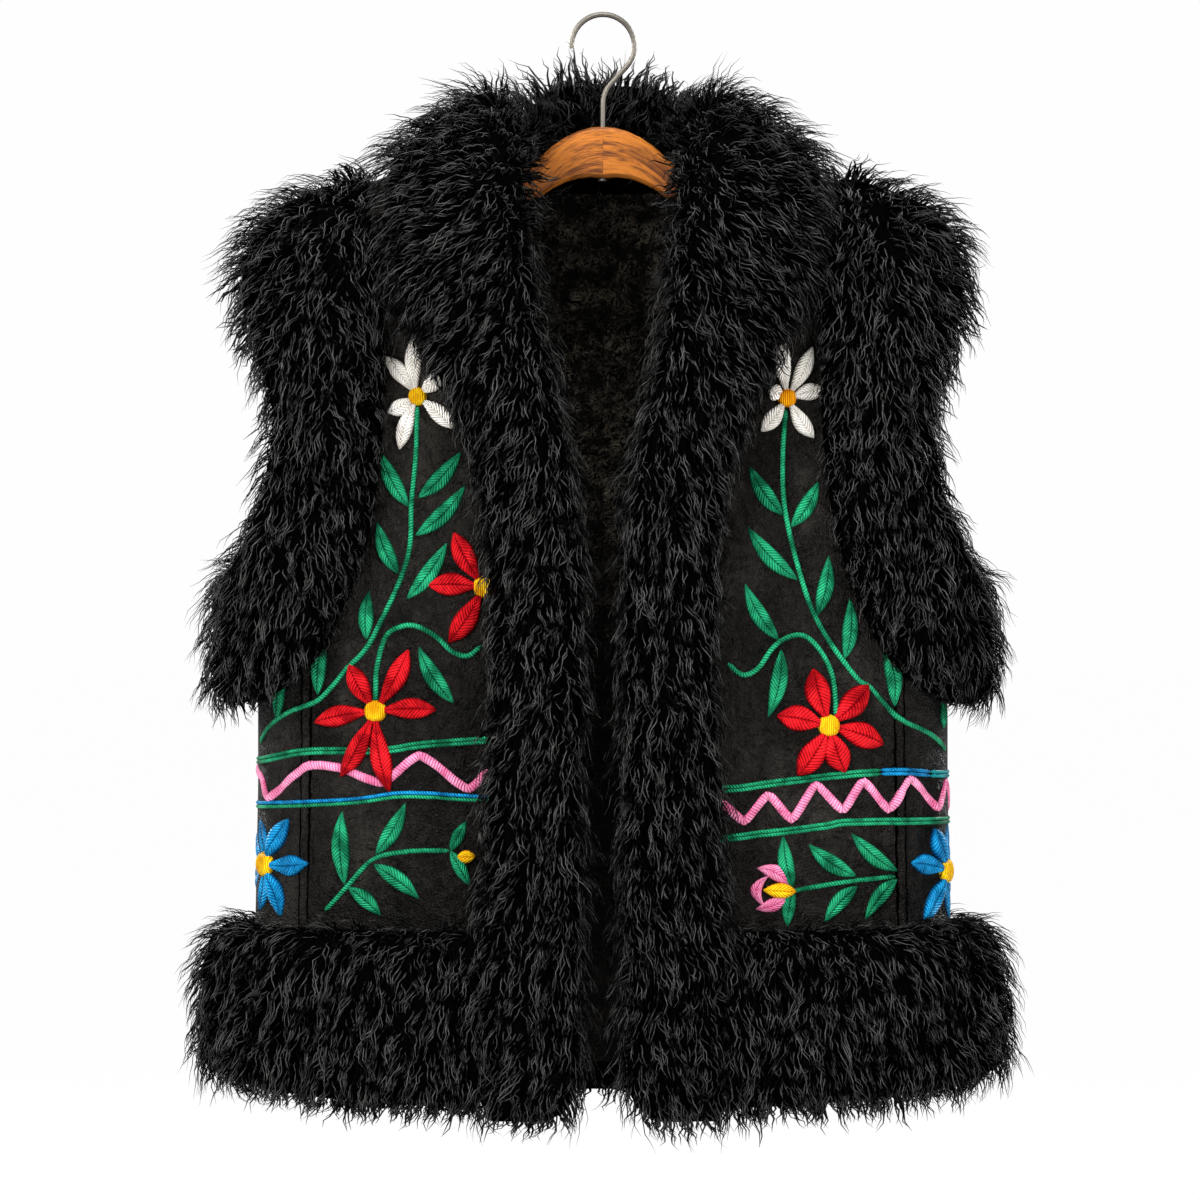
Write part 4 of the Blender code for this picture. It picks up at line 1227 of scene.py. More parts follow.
# Lines: name of the piece, colour, half width, height, offset, roundness, points.
LINES = (
    ("vine_right", "green", STEM, 1.5, 0, 1.0,
     ((-127, -276), (-128, -309), (-131, -342), (-132, -370), (-138, -392), (-151, -420), (-163, -442),
      (-176, -455), (-188, -468), (-200, -478), (-221, -485), (-240, -495), (-255, -507))),
    ("vine_right", "green", STEM, 1.5, 0, 1.0,
     ((-156, -479), (-156, -468), (-155, -453), (-149, -433), (-138, -426), (-127, -426), (-114, -433),
      (-103, -443), (-92, -446), (-83, -439))),
    ("vine_left", "green", STEM, 1.5, 0, 1.0,
     ((125, -278), (123, -311), (124, -342), (130, -372), (139, -403), (146, -420), (158, -440), (175, -462),
      (185, -468), (202, -486), (212, -492), (235, -501), (255, -512))),
    ("vine_left", "green", STEM, 1.5, 0, 1.0,
     ((160, -488), (158, -462), (150, -444), (139, -433), (128, -433), (117, -440), (106, -455), (95, -459),
      (85, -451))),
    ("sprig_right", "green", TWIG, 1.3, 0, 1.0,
     ((-192, -621), (-176, -604), (-159, -586), (-136, -580), (-105, -579))),
    ("sprig_left", "green", TWIG, 1.3, 0, 1.0, ((129, -607), (166, -601), (204, -598))),
    ("bands_right", "green", DOUBLE, 1.2, BESIDE, 1.0, RIGHT_TOP),
    ("bands_right", "green", DOUBLE, 1.2, -BESIDE, 1.0, RIGHT_TOP),
    ("bands_right", "pink", ZIGZAG, 1.5, 0, 0.45, RIGHT_ZIGZAG),
    ("bands_right", "blue", DOUBLE, 1.2, BESIDE, 1.0, RIGHT_LOW),
    ("bands_right", "green", DOUBLE, 1.2, -BESIDE, 1.0, RIGHT_LOW),
    ("bands_left", "green", DOUBLE, 1.2, BESIDE, 1.0, LEFT_TOP),
    ("bands_left", "green", DOUBLE, 1.2, -BESIDE, 1.0, LEFT_TOP),
    ("bands_left", "blue", DOUBLE, 1.2, BESIDE, 1.0, LEFT_TOP_SIDE),
    ("bands_left", "blue", DOUBLE, 1.2, -BESIDE, 1.0, LEFT_TOP_SIDE),
    ("bands_left", "teal", DOUBLE, 1.2, BESIDE, 1.0, LEFT_TOP_BACK),
    ("bands_left", "teal", DOUBLE, 1.2, -BESIDE, 1.0, LEFT_TOP_BACK),
    ("bands_left", "pink", ZIGZAG, 1.5, 0, 0.35, LEFT_ZIGZAG),
    ("bands_left", "green", DOUBLE, 1.2, BESIDE, 1.0, LEFT_LOW),
    ("bands_left", "green", DOUBLE, 1.2, -BESIDE, 1.0, LEFT_LOW),
)
# A petal starts inside the centre, at this share of its radius, with this share of its width.
PETAL_START, PETAL_BASE = 0.35, 0.35
# Petals are sewn over what lies under them, and bow to either side in turn.
OVERLAP = 1.5
PETAL_BOW = 0.035
# Petals that lie round the turn of the body are sewn flatter.
TURN_OF_BODY = 250
FLAT_PUFF = 1.0

motifs = {}
for name, colour, half_width, high, offset, roundness, points in LINES:
    ribbon = sewn_ribbon(points, half_width, high, LINE_THREAD[colour], offset, roundness)
    motifs.setdefault(name, []).append(ribbon)
for name, colour, base, tip, half_width, bow in LEAVES:
    over = OVERLAP if colour == "yellow" else 0
    pad = sewn_pad(base, tip, half_width, PETAL_THREAD[colour], bow, raise_by=over)
    motifs.setdefault(name, []).append(pad)
for name, colour, middle_colour, centre, radius, half_width, tips in FLOWERS:
    pads = motifs.setdefault(name, [])
    for i, tip in enumerate(tips):
        reach = np.array(tip) - centre
        base = centre + reach / np.linalg.norm(reach) * radius * PETAL_START
        puff, over = (FLAT_PUFF, 0) if abs(tip[0]) > TURN_OF_BODY else (PUFF, OVERLAP)
        bow = PETAL_BOW * (-1) ** i
        thread = PETAL_THREAD[colour]
        pads.append(sewn_pad(base, tip, half_width, thread, bow, PETAL_WIDEST, puff, PETAL_BASE, over))
    pads.append(sewn_disc(centre, radius, PETAL_THREAD[middle_colour]))
sewn = 0
for name, patches in motifs.items():
    made = joined_patches(name, patches)
    sewn += triangles(made.data)
print(len(motifs), "motifs,", sewn, "triangles")

# %% [markdown]
# ## Long curly fur
# The trims are long-haired lambskin. Its hair grows in wavy locks that fall downhill, spread away from
# the middle of each strip and flow together in patches. Modelling one lock and scattering it would look
# like a brush, so each lock is a curve that asks the same wide noise which way to go and how to wave.
# Neighbours then move together, as real locks do. First comes the bed they grow from.

# %% The rounded bed under the fur
# Round the fur's section: the zone, how far along it, and the height as a share of the loft.
FUR_PROFILE = (
    ("lean", 1.00, 0.10),
    ("lean", 0.75, 0.55),
    ("strip", 0.05, 0.88),
    ("strip", 0.50, 1.00),
    ("strip", 1.00, 0.96),
    ("reach", 0.55, 0.80),
    ("reach", 0.90, 0.48),
    ("reach", 1.00, 0.14),
    ("reach", 0.75, -0.12),
    ("reach", 0.30, -0.15),
)
HAIR_OVER_BED = 0.013
HAIR_AT_NECK = 0.003
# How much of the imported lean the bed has, by height. Locks make up the rest.
LEAN_HEIGHTS = (-0.80, -0.42, -0.33, -0.24)
COLLAR_LEAN, ARM_LEAN, HEM_LEAN = (0.5, 0.5, 0.5, 1.0), (0.1, 0.2, 0.85, 1.0), (0.6, 0.6, 0.6, 0.6)
PROFILE_POINTS = 22
# The bed's height swells and sinks along the strip: two slow waves and a quick one. Each pair is radians
# from row to row and radians from point to point round the section.
LUMP, LUMP_STEP, LUMP_WAVES = 0.12, 0.31, ((1.3, 0.8), (0.57, 0.35))
BUMPS, BUMP_WAVE = 0.05, (2.1, 2.6)
# The bed keeps at least this share of the solid's size.
LEAST_BED = 0.35
# The neck's thinner hair starts this far down the back, and is reached over the second distance.
NECK_RUN, NECK_RUN_OVER = 0.03, 0.04


def under_hair(size, hair):
    """The bed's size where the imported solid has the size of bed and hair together."""
    return np.maximum(size - hair, LEAST_BED * size)


def fur_sections(rows, lean_shares):
    """For rows of stations: the points round each section, and the frame of each strip."""
    seam, edge = rows[:, 0:2], rows[:, 2:4]
    at_neck = np.clip((-rows[:, 1:2] - NECK_RUN) / NECK_RUN_OVER, 0, 1)
    reach, seam_loft, edge_loft = under_hair(rows[:, 5:], lerp(HAIR_OVER_BED, HAIR_AT_NECK, at_neck)).T
    start, end = body_point(*seam.T), body_point(*edge.T)
    lean = rows[:, 4] * np.interp(start[:, 2], LEAN_HEIGHTS, lean_shares)
    width = np.linalg.norm(end - start, axis=-1)
    across = unit(end - start)
    middle = lerp(seam, edge, 0.5)
    up = body_normal(*middle.T)
    up = unit(up - across * (up * across).sum(-1, keepdims=True))
    where, high = [], []
    for zone, along, share in FUR_PROFILE:
        if zone == "lean":
            where.append(-along * lean)
            high.append(share * seam_loft)
        elif zone == "strip":
            where.append(along * width)
            high.append(share * lerp(seam_loft, edge_loft, along))
        else:
            where.append(width + along * reach)
            high.append(share * edge_loft)
    shape = np.stack([np.array(where), np.array(high)], -1)
    shape = between_rows(shape, np.linspace(0, len(FUR_PROFILE) - 1, PROFILE_POINTS))
    steps = np.arange(len(rows))
    phase = steps * LUMP_STEP
    slow, slower = LUMP_WAVES
    points = []
    for i, (w, h) in enumerate(shape.transpose(0, 2, 1)):
        f = np.clip(w / width, -1, 1)
        base = body_point(*lerp(seam, edge, f[:, None]).T)
        base = base + across * np.maximum(w - width, 0)[:, None]
        swell = 1 + LUMP * np.sin(phase * slow[0] + i * slow[1]) * np.sin(phase * slower[0] + i * slower[1])
        swell = swell + BUMPS * np.sin(steps * BUMP_WAVE[0] + i * BUMP_WAVE[1])
        points.append(base + up * (h * swell)[:, None])
    foot = HALF_GAP / width
    inner = [lifted(*lerp(seam, edge, f).T, np.full(len(rows), -SKIN)) for f in (1.0, 0.66, 0.33)]
    inner.append(lifted(*lerp(seam, edge, foot[:, None]).T, np.full(len(rows), -SKIN)))
    root = lifted(*lerp(seam, edge, foot[:, None]).T, np.zeros(len(rows)))
    return np.stack([root, *points, *inner], 1), across, up


# %% Which way the hair lies
TOP_OF_BODY = -0.10
LOWER_BODY = -0.30
OUTWARD = np.array([1.0, 1.6, 0.0])
OUTWARD_PULL, OUTWARD_LOST = 0.60, 0.5
DOWN_PULL, UP_AT_TOP = 1.4, 0.1
SPREAD = 0.80
STAND_AT_TOP = 1.7
NECK_TOP = -0.075
LONG_AT_NECK = 1.15


def downhill_share(z):
    """Fur stands up and out at the shoulders, and hangs lower down: 0 there and 1 here."""
    return np.clip((TOP_OF_BODY - z) / (TOP_OF_BODY - LOWER_BODY), 0, 1)


def comb_field(points, across, normals):
    """Which way the hair lies at each point: downhill, outward near the top, and off the strip's middle."""
    count = points.shape[1]
    downhill = downhill_share(points[..., 2])[..., None]
    outward = unit(points * OUTWARD)
    place = np.linspace(-1, 1, count)[None, :, None]
    field = np.array([0, 0, -1.0]) * (DOWN_PULL * downhill - UP_AT_TOP)
    field = field + outward * OUTWARD_PULL * (1 - OUTWARD_LOST * downhill)
    field = field + across[:, None, :] * place * SPREAD
    field = field - normals * (field * normals).sum(-1, keepdims=True)
    return unit(field)


def section_normals(points):
    """Normals of a grid of points, pointing away from the body."""
    down = np.gradient(points, axis=0)
    round_it = np.gradient(points, axis=1)
    return unit(np.cross(down, round_it))


# %% Fur finish: a dark ground between the locks, and the locks themselves
FUR_BLACK, FUR_DEEP = (0.0001, 0.0001, 0.0001), (0.0016, 0.0016, 0.0015)
GROUND_HAIRS, GROUND_RELIEF = (520, 520, 70), 0.003


def make_fur_ground():
    made, tree, shader = start_material("fur_ground", 0.85, Specular_IOR_Level=0.0)
    place = add(tree, "ShaderNodeTexCoord").outputs["Object"]
    stretched = add(tree, "ShaderNodeMapping", place)
    stretched.inputs["Scale"].default_value = GROUND_HAIRS
    hair = add(tree, "ShaderNodeTexNoise", stretched.outputs[0], 1.0, 3.0, 0.6)
    colour = two_colours(tree, hair.outputs[0], FUR_BLACK, FUR_DEEP)
    tree.links.new(colour, shader.inputs["Base Color"])
    tree.links.new(bumped(tree, hair.outputs[0], GROUND_RELIEF), shader.inputs["Normal"])
    return made


# The grey of the painted highlights and glints on the hair.
FUR_GLINT = (0.660, 0.653, 0.640)
HAIR_ROUGHNESS, HAIR_SHINE, HAIR_RELIEF = 0.34, 0.02, 0.0006
# A high power leaves most locks black and only a few with a grey painted highlight, and the next keeps their
# sides in painted shade.
FEW_LIGHT, SHADED_SIDES = 8.0, 3.0
# Painted shade on the hair: darker at the root, deep in the fur, than at the tip. It is also darker towards
# the hem.
LIGHT_AT_ROOT, LIGHT_TO_TIP = 0.4, 0.6
DARKER_TO_HEM_Z, DARKER_TO_HEM = (-0.78, -0.45), (0.88, 1.0)
# Painted glints come in short stretches: repeats to the metre, the noise between, and the gain between.
GLINTS, GLINT_NOISE, GLINT_GAIN = 95.0, (0.42, 0.62), (0.05, 12.5)


def make_fur_hair():
    """Each lock: painted shade at its sides, and a painted grey highlight of its own, broken into glints."""
    made, tree, shader = start_material("fur_hair", HAIR_ROUGHNESS, Specular_IOR_Level=HAIR_SHINE)
    tint, along, across = (
        add(tree, "ShaderNodeAttribute", attribute_name=label).outputs["Fac"]
        for label in ("tint", "along", "across")
    )
    place = calc(tree, "FRACT", calc(tree, "MULTIPLY_ADD", across, 0.5, 0.5))
    ridge = calc(tree, "SINE", calc(tree, "MULTIPLY", place, math.pi))
    number = calc(tree, "MULTIPLY", tint, 977.0)
    own = add(tree, "ShaderNodeTexWhiteNoise", None, number, noise_dimensions="1D").outputs[0]
    light = calc(tree, "MULTIPLY", calc(tree, "POWER", own, FEW_LIGHT), calc(tree, "POWER", ridge, SHADED_SIDES))
    light = calc(tree, "MULTIPLY", light, calc(tree, "MULTIPLY_ADD", along, LIGHT_TO_TIP, LIGHT_AT_ROOT))
    spot = add(tree, "ShaderNodeTexCoord").outputs["Object"]
    high = add(tree, "ShaderNodeSeparateXYZ", spot).outputs["Z"]
    from_hem = add(tree, "ShaderNodeMapRange", high, *DARKER_TO_HEM_Z, *DARKER_TO_HEM)
    light = calc(tree, "MULTIPLY", light, from_hem.outputs[0])
    glint = add(tree, "ShaderNodeTexNoise", spot, GLINTS, 3.0, 0.6)
    glint = add(tree, "ShaderNodeMapRange", glint.outputs[0], *GLINT_NOISE, *GLINT_GAIN)
    colour = two_colours(tree, calc(tree, "MULTIPLY", light, glint.outputs[0]), FUR_BLACK, FUR_GLINT)
    tree.links.new(colour, shader.inputs["Base Color"])
    tree.links.new(bumped(tree, ridge, HAIR_RELIEF, 0.8), shader.inputs["Normal"])
    return made


FUR_GROUND, FUR_HAIR = make_fur_ground(), make_fur_hair()
print("finishes", FUR_GROUND.name, FUR_HAIR.name)

# %% [markdown]
# ### The lock-growing node tree
# Geometry Nodes scatter roots over the bed, lay a short six-point line on each, and bend every line by
# its own root's comb, normal and noise. A three-sided profile with a tapering radius turns the lines
# into closed locks of a few dozen faces. The result is realized, so the export keeps it.

# %% Geometry Nodes: curly locks
LOCK_POINTS = 6
LOCK_SIDES = 3
LOCK_FLATNESS = 0.42
LOCK_SIZES = (0.62, 1.25)
# How far the three corners of the profile reach to its sides.
CORNER_REACH = 0.866
# Wide noise turns neighbours alike, in repeats to the metre, and tufts stray by the second amount.
FLOWS, FLOW_TURN, TUFT_TURN = 34.0, 1.1, 0.85
# Along a lock, t goes from 0 at the root to 1 at the tip.
RISE_FADES, FORWARD_BASE, FORWARD_GAIN, DROOP = -0.50, 0.55, 0.40, 0.16
# The wave: radians from root to tip, a turn for each tuft and for each lock, and how it grows.
WAVE_TURNS, TUFT_PHASE, LOCK_PHASE, SWING_GROWS, BOB_SHARE = 10.0, 12.0, 2.6, 0.8, 0.6
GATHER_GROWS = 1.4
TAPER_POWER, TIP_THICKNESS = 1.5, 0.08


def named(tree, name, kind="FLOAT_VECTOR"):
    node = add(tree, "GeometryNodeInputNamedAttribute", name, data_type=kind)
    return next(s for s in node.outputs if s.enabled)


def store(tree, geometry, name, value, kind="FLOAT_VECTOR", domain="POINT"):
    node = add(tree, "GeometryNodeStoreNamedAttribute", data_type=kind, domain=domain)
    feed(tree, node.inputs["Geometry"], geometry)
    node.inputs["Name"].default_value = name
    feed(tree, next(s for s in node.inputs if s.name == "Value" and s.enabled), value)
    return node.outputs[0]


def random_share(tree, low, high, seed):
    node = add(tree, "FunctionNodeRandomValue", data_type="FLOAT")
    shown = [s for s in node.inputs if s.enabled]
    for socket in shown:
        if socket.name == "Min":
            socket.default_value = low
        if socket.name == "Max":
            socket.default_value = high
        if socket.name == "Seed":
            feed(tree, socket, seed)
    return next(s for s in node.outputs if s.enabled)


def scaled(tree, v, by):
    node = add(tree, "ShaderNodeVectorMath", operation="SCALE")
    feed(tree, node.inputs[0], v)
    feed(tree, node.inputs["Scale"], by)
    return node.outputs[0]


def make_lock_tree():
    tree = bpy.data.node_groups.new("curly locks", "GeometryNodeTree")
    tree.is_modifier = True
    sockets = {
        "Bed": "Geometry", "Locks per square metre": "Float", "Length": "Float", "Thickness": "Float",
        "Wave": "Float", "Lift": "Float", "Tufts per metre": "Float", "Gather": "Float", "Front": "Float",
        "Back": "Float", "Seed": "Int", "Finish": "Material",
    }
    for label, kind in sockets.items():
        tree.interface.new_socket(label, in_out="INPUT", socket_type="NodeSocket" + kind)
    tree.interface.new_socket("Locks", in_out="OUTPUT", socket_type="NodeSocketGeometry")
    given = tree.nodes.new("NodeGroupInput").outputs
    made = tree.nodes.new("NodeGroupOutput")

    density = calc(tree, "MULTIPLY", named(tree, "cover", "FLOAT"), given["Locks per square metre"])
    roots = add(tree, "GeometryNodeDistributePointsOnFaces", distribute_method="RANDOM")
    feed(tree, roots.inputs["Mesh"], given["Bed"])
    feed(tree, roots.inputs["Density"], density)
    feed(tree, roots.inputs["Seed"], given["Seed"])
    points = roots.outputs["Points"]
    points = store(tree, points, "root", add(tree, "GeometryNodeInputPosition").outputs[0])
    points = store(tree, points, "raised", roots.outputs["Normal"])
    points = store(tree, points, "tint", random_share(tree, 0.0, 1.0, 3), "FLOAT")
    points = store(tree, points, "size", random_share(tree, *LOCK_SIZES, 4), "FLOAT")
    points = store(tree, points, "start", random_share(tree, 0.0, 1.0, 5), "FLOAT")

    line = add(tree, "GeometryNodeCurvePrimitiveLine")
    line.inputs["End"].default_value = (0, 0, 1)
    stops = add(tree, "GeometryNodeResampleCurve")
    feed(tree, stops.inputs["Curve"], line.outputs[0])
    stops.inputs["Count"].default_value = LOCK_POINTS
    placed = add(tree, "GeometryNodeInstanceOnPoints")
    feed(tree, placed.inputs["Points"], points)
    feed(tree, placed.inputs["Instance"], stops.outputs[0])
    lines = add(tree, "GeometryNodeRealizeInstances", placed.outputs[0]).outputs[0]

    t = add(tree, "GeometryNodeSplineParameter").outputs["Factor"]
    root, raised, comb = named(tree, "root"), named(tree, "raised"), named(tree, "comb")
    size, tint, start = (named(tree, label, "FLOAT") for label in ("size", "tint", "start"))
    wide = add(tree, "ShaderNodeTexNoise", root, FLOWS, 2.0, 0.5).outputs["Color"]
    tuft = add(tree, "ShaderNodeTexVoronoi", root, given["Tufts per metre"], feature="F1")
    flow = scaled(tree, vector(tree, "SUBTRACT", wide, (0.5, 0.5, 0.5)), FLOW_TURN)
    stray = scaled(tree, vector(tree, "SUBTRACT", tuft.outputs["Color"], (0.5, 0.5, 0.5)), TUFT_TURN)
    lay = vector(tree, "NORMALIZE", vector(tree, "ADD", comb, vector(tree, "ADD", flow, stray)))
    side = vector(tree, "NORMALIZE", vector(tree, "CROSS_PRODUCT", lay, raised))

    square = calc(tree, "MULTIPLY", t, t)
    stand = calc(tree, "MULTIPLY", given["Lift"], named(tree, "stand", "FLOAT"))
    rise = calc(tree, "MULTIPLY", calc(tree, "MULTIPLY_ADD", square, RISE_FADES, t), stand)
    forward = calc(tree, "MULTIPLY_ADD", square, FORWARD_GAIN, calc(tree, "MULTIPLY", t, FORWARD_BASE))
    path = vector(tree, "ADD", scaled(tree, raised, rise), scaled(tree, lay, forward))
    drop = scaled(tree, (0, 0, -1), calc(tree, "MULTIPLY", square, DROOP))
    path = vector(tree, "ADD", path, drop)
    long = calc(tree, "MULTIPLY", calc(tree, "MULTIPLY", size, named(tree, "long", "FLOAT")), given["Length"])
    path = scaled(tree, path, long)

    tuft_split = add(tree, "ShaderNodeSeparateXYZ", tuft.outputs["Color"])
    phase = calc(tree, "MULTIPLY", start, LOCK_PHASE)
    turn = calc(tree, "MULTIPLY_ADD", tuft_split.outputs["X"], TUFT_PHASE, phase)
    beat = calc(tree, "MULTIPLY_ADD", t, WAVE_TURNS, turn)
    swing_size = calc(tree, "MULTIPLY", given["Wave"], calc(tree, "POWER", t, SWING_GROWS))
    bob_size = calc(tree, "MULTIPLY", given["Wave"], calc(tree, "MULTIPLY", t, BOB_SHARE))
    swing = calc(tree, "MULTIPLY", calc(tree, "SINE", beat), swing_size)
    bob = calc(tree, "MULTIPLY", calc(tree, "COSINE", beat), bob_size)
    wave = vector(tree, "ADD", scaled(tree, side, swing), scaled(tree, raised, bob))
    to_tuft = vector(tree, "SUBTRACT", tuft.outputs["Position"], root)
    out_of_skin = scaled(tree, raised, vector(tree, "DOT_PRODUCT", to_tuft, raised))
    to_tuft = vector(tree, "SUBTRACT", to_tuft, out_of_skin)
    pull = calc(tree, "MULTIPLY", given["Gather"], calc(tree, "POWER", t, GATHER_GROWS))
    gathered = scaled(tree, to_tuft, pull)
    path = vector(tree, "ADD", path, gathered)
    place = add(tree, "ShaderNodeSeparateXYZ", vector(tree, "ADD", root, vector(tree, "ADD", path, wave)))
    inside = calc(tree, "MINIMUM", calc(tree, "MAXIMUM", place.outputs["Y"], given["Front"]), given["Back"])
    place = add(tree, "ShaderNodeCombineXYZ", place.outputs["X"], inside, place.outputs["Z"]).outputs[0]
    bent = add(tree, "GeometryNodeSetPosition")
    feed(tree, bent.inputs["Geometry"], lines)
    feed(tree, bent.inputs["Position"], place)

    taper = calc(tree, "SUBTRACT", 1.0, calc(tree, "POWER", t, TAPER_POWER))
    thinner = calc(tree, "MULTIPLY_ADD", taper, 1 - TIP_THICKNESS, TIP_THICKNESS)
    radius = calc(tree, "MULTIPLY", given["Thickness"], thinner)
    radius = calc(tree, "MULTIPLY", radius, calc(tree, "MULTIPLY_ADD", size, 0.5, 0.5))
    thick = add(tree, "GeometryNodeSetCurveRadius")
    feed(tree, thick.inputs["Curve"], store(tree, bent.outputs[0], "along", t, "FLOAT"))
    feed(tree, thick.inputs["Radius"], radius)
    ring = add(tree, "GeometryNodeCurvePrimitiveCircle")
    ring.inputs["Resolution"].default_value = LOCK_SIDES
    ring.inputs["Radius"].default_value = 1.0
    flat = add(tree, "GeometryNodeTransform", ring.outputs["Curve"])
    flat.inputs["Scale"].default_value = (LOCK_FLATNESS, 1.0, 1.0)
    corners = add(tree, "ShaderNodeSeparateXYZ", add(tree, "GeometryNodeInputPosition").outputs[0])
    across = calc(tree, "DIVIDE", corners.outputs["Y"], CORNER_REACH)
    flat = store(tree, flat.outputs[0], "across", across, "FLOAT")
    facing = add(tree, "GeometryNodeSetCurveNormal", mode="FREE")
    feed(tree, facing.inputs["Curve"], thick.outputs[0])
    feed(tree, facing.inputs["Normal"], raised)
    tube = add(tree, "GeometryNodeCurveToMesh")
    feed(tree, tube.inputs["Curve"], facing.outputs[0])
    feed(tree, tube.inputs["Profile Curve"], flat)
    tube.inputs["Fill Caps"].default_value = True
    feed(tree, tube.inputs["Scale"], radius)
    smooth = add(tree, "GeometryNodeSetShadeSmooth", tube.outputs[0])
    real = add(tree, "GeometryNodeRealizeInstances", smooth.outputs[0])
    dressed = add(tree, "GeometryNodeSetMaterial")
    feed(tree, dressed.inputs["Geometry"], real.outputs[0])
    feed(tree, dressed.inputs["Material"], given["Finish"])
    tree.links.new(dressed.outputs[0], made.inputs["Locks"])
    return tree


LOCK_TREE = make_lock_tree()
print(LOCK_TREE.name, "in", len(LOCK_TREE.nodes), "nodes")


# %% Fur pieces: bed and locks joined
LOCKS_PER_SQUARE_METRE = 36300
# Behind the body the fur is thinner, and it changes over this depth.
COVER_BEHIND, CHANGES_OVER = 0.52, 0.05
LOCK_LENGTH = 0.0205
LOCK_THICKNESS = 0.00110
LOCK_WAVE = 0.0021
LOCK_LIFT = 0.74
TUFTS_PER_METRE = 85.0
GATHER = 0.72
# How long the locks are on the seam side, by height: longer at the shoulders, where they hide the skin.
SEAM_HEIGHTS = (-0.80, -0.54, -0.47, -0.24, -0.19, 0.0)
COLLAR_SEAM_LONG = (1.0, 1.05, 0.75, 0.70, 1.30, 1.30)
ARM_SEAM_LONG = (0.4, 0.4, 0.45, 0.65, 1.20, 1.20)
HEM_SEAM_LONG = (1.0, 1.0, 1.0, 1.0, 1.0, 1.0)
SEAM_POINTS = slice(1, 5)
# Locks that grow downwards are shorter, below this height.
LONG_BELOW, BELOW_Z = 0.70, -0.36
# The hair stays inside this space in front, behind and below, and gets shorter as it comes near.
FRONT_SPACE, BACK_SPACE, LOW_SPACE = -0.147, 0.137, -0.786
SPACE_FOR_FULL_LENGTH = 0.022
SHORTEST = 0.45
# The neck: how much thicker the fur grows, how far below its top it ends, and half its width.
THICK_AT_NECK, NECK_FADE, NECK_HALF_WIDTH = 1.8, 0.03, 0.08
THICK_AT_SIDES = 1.25
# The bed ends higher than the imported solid, so that the lowest hair hides its foot.
FOOT = -0.742
FOOT_SQUEEZE = 0.72
# The last rows of the profile before the edge have this share of the locks.
EDGE_ROWS, EDGE_COVER = 4, 0.5


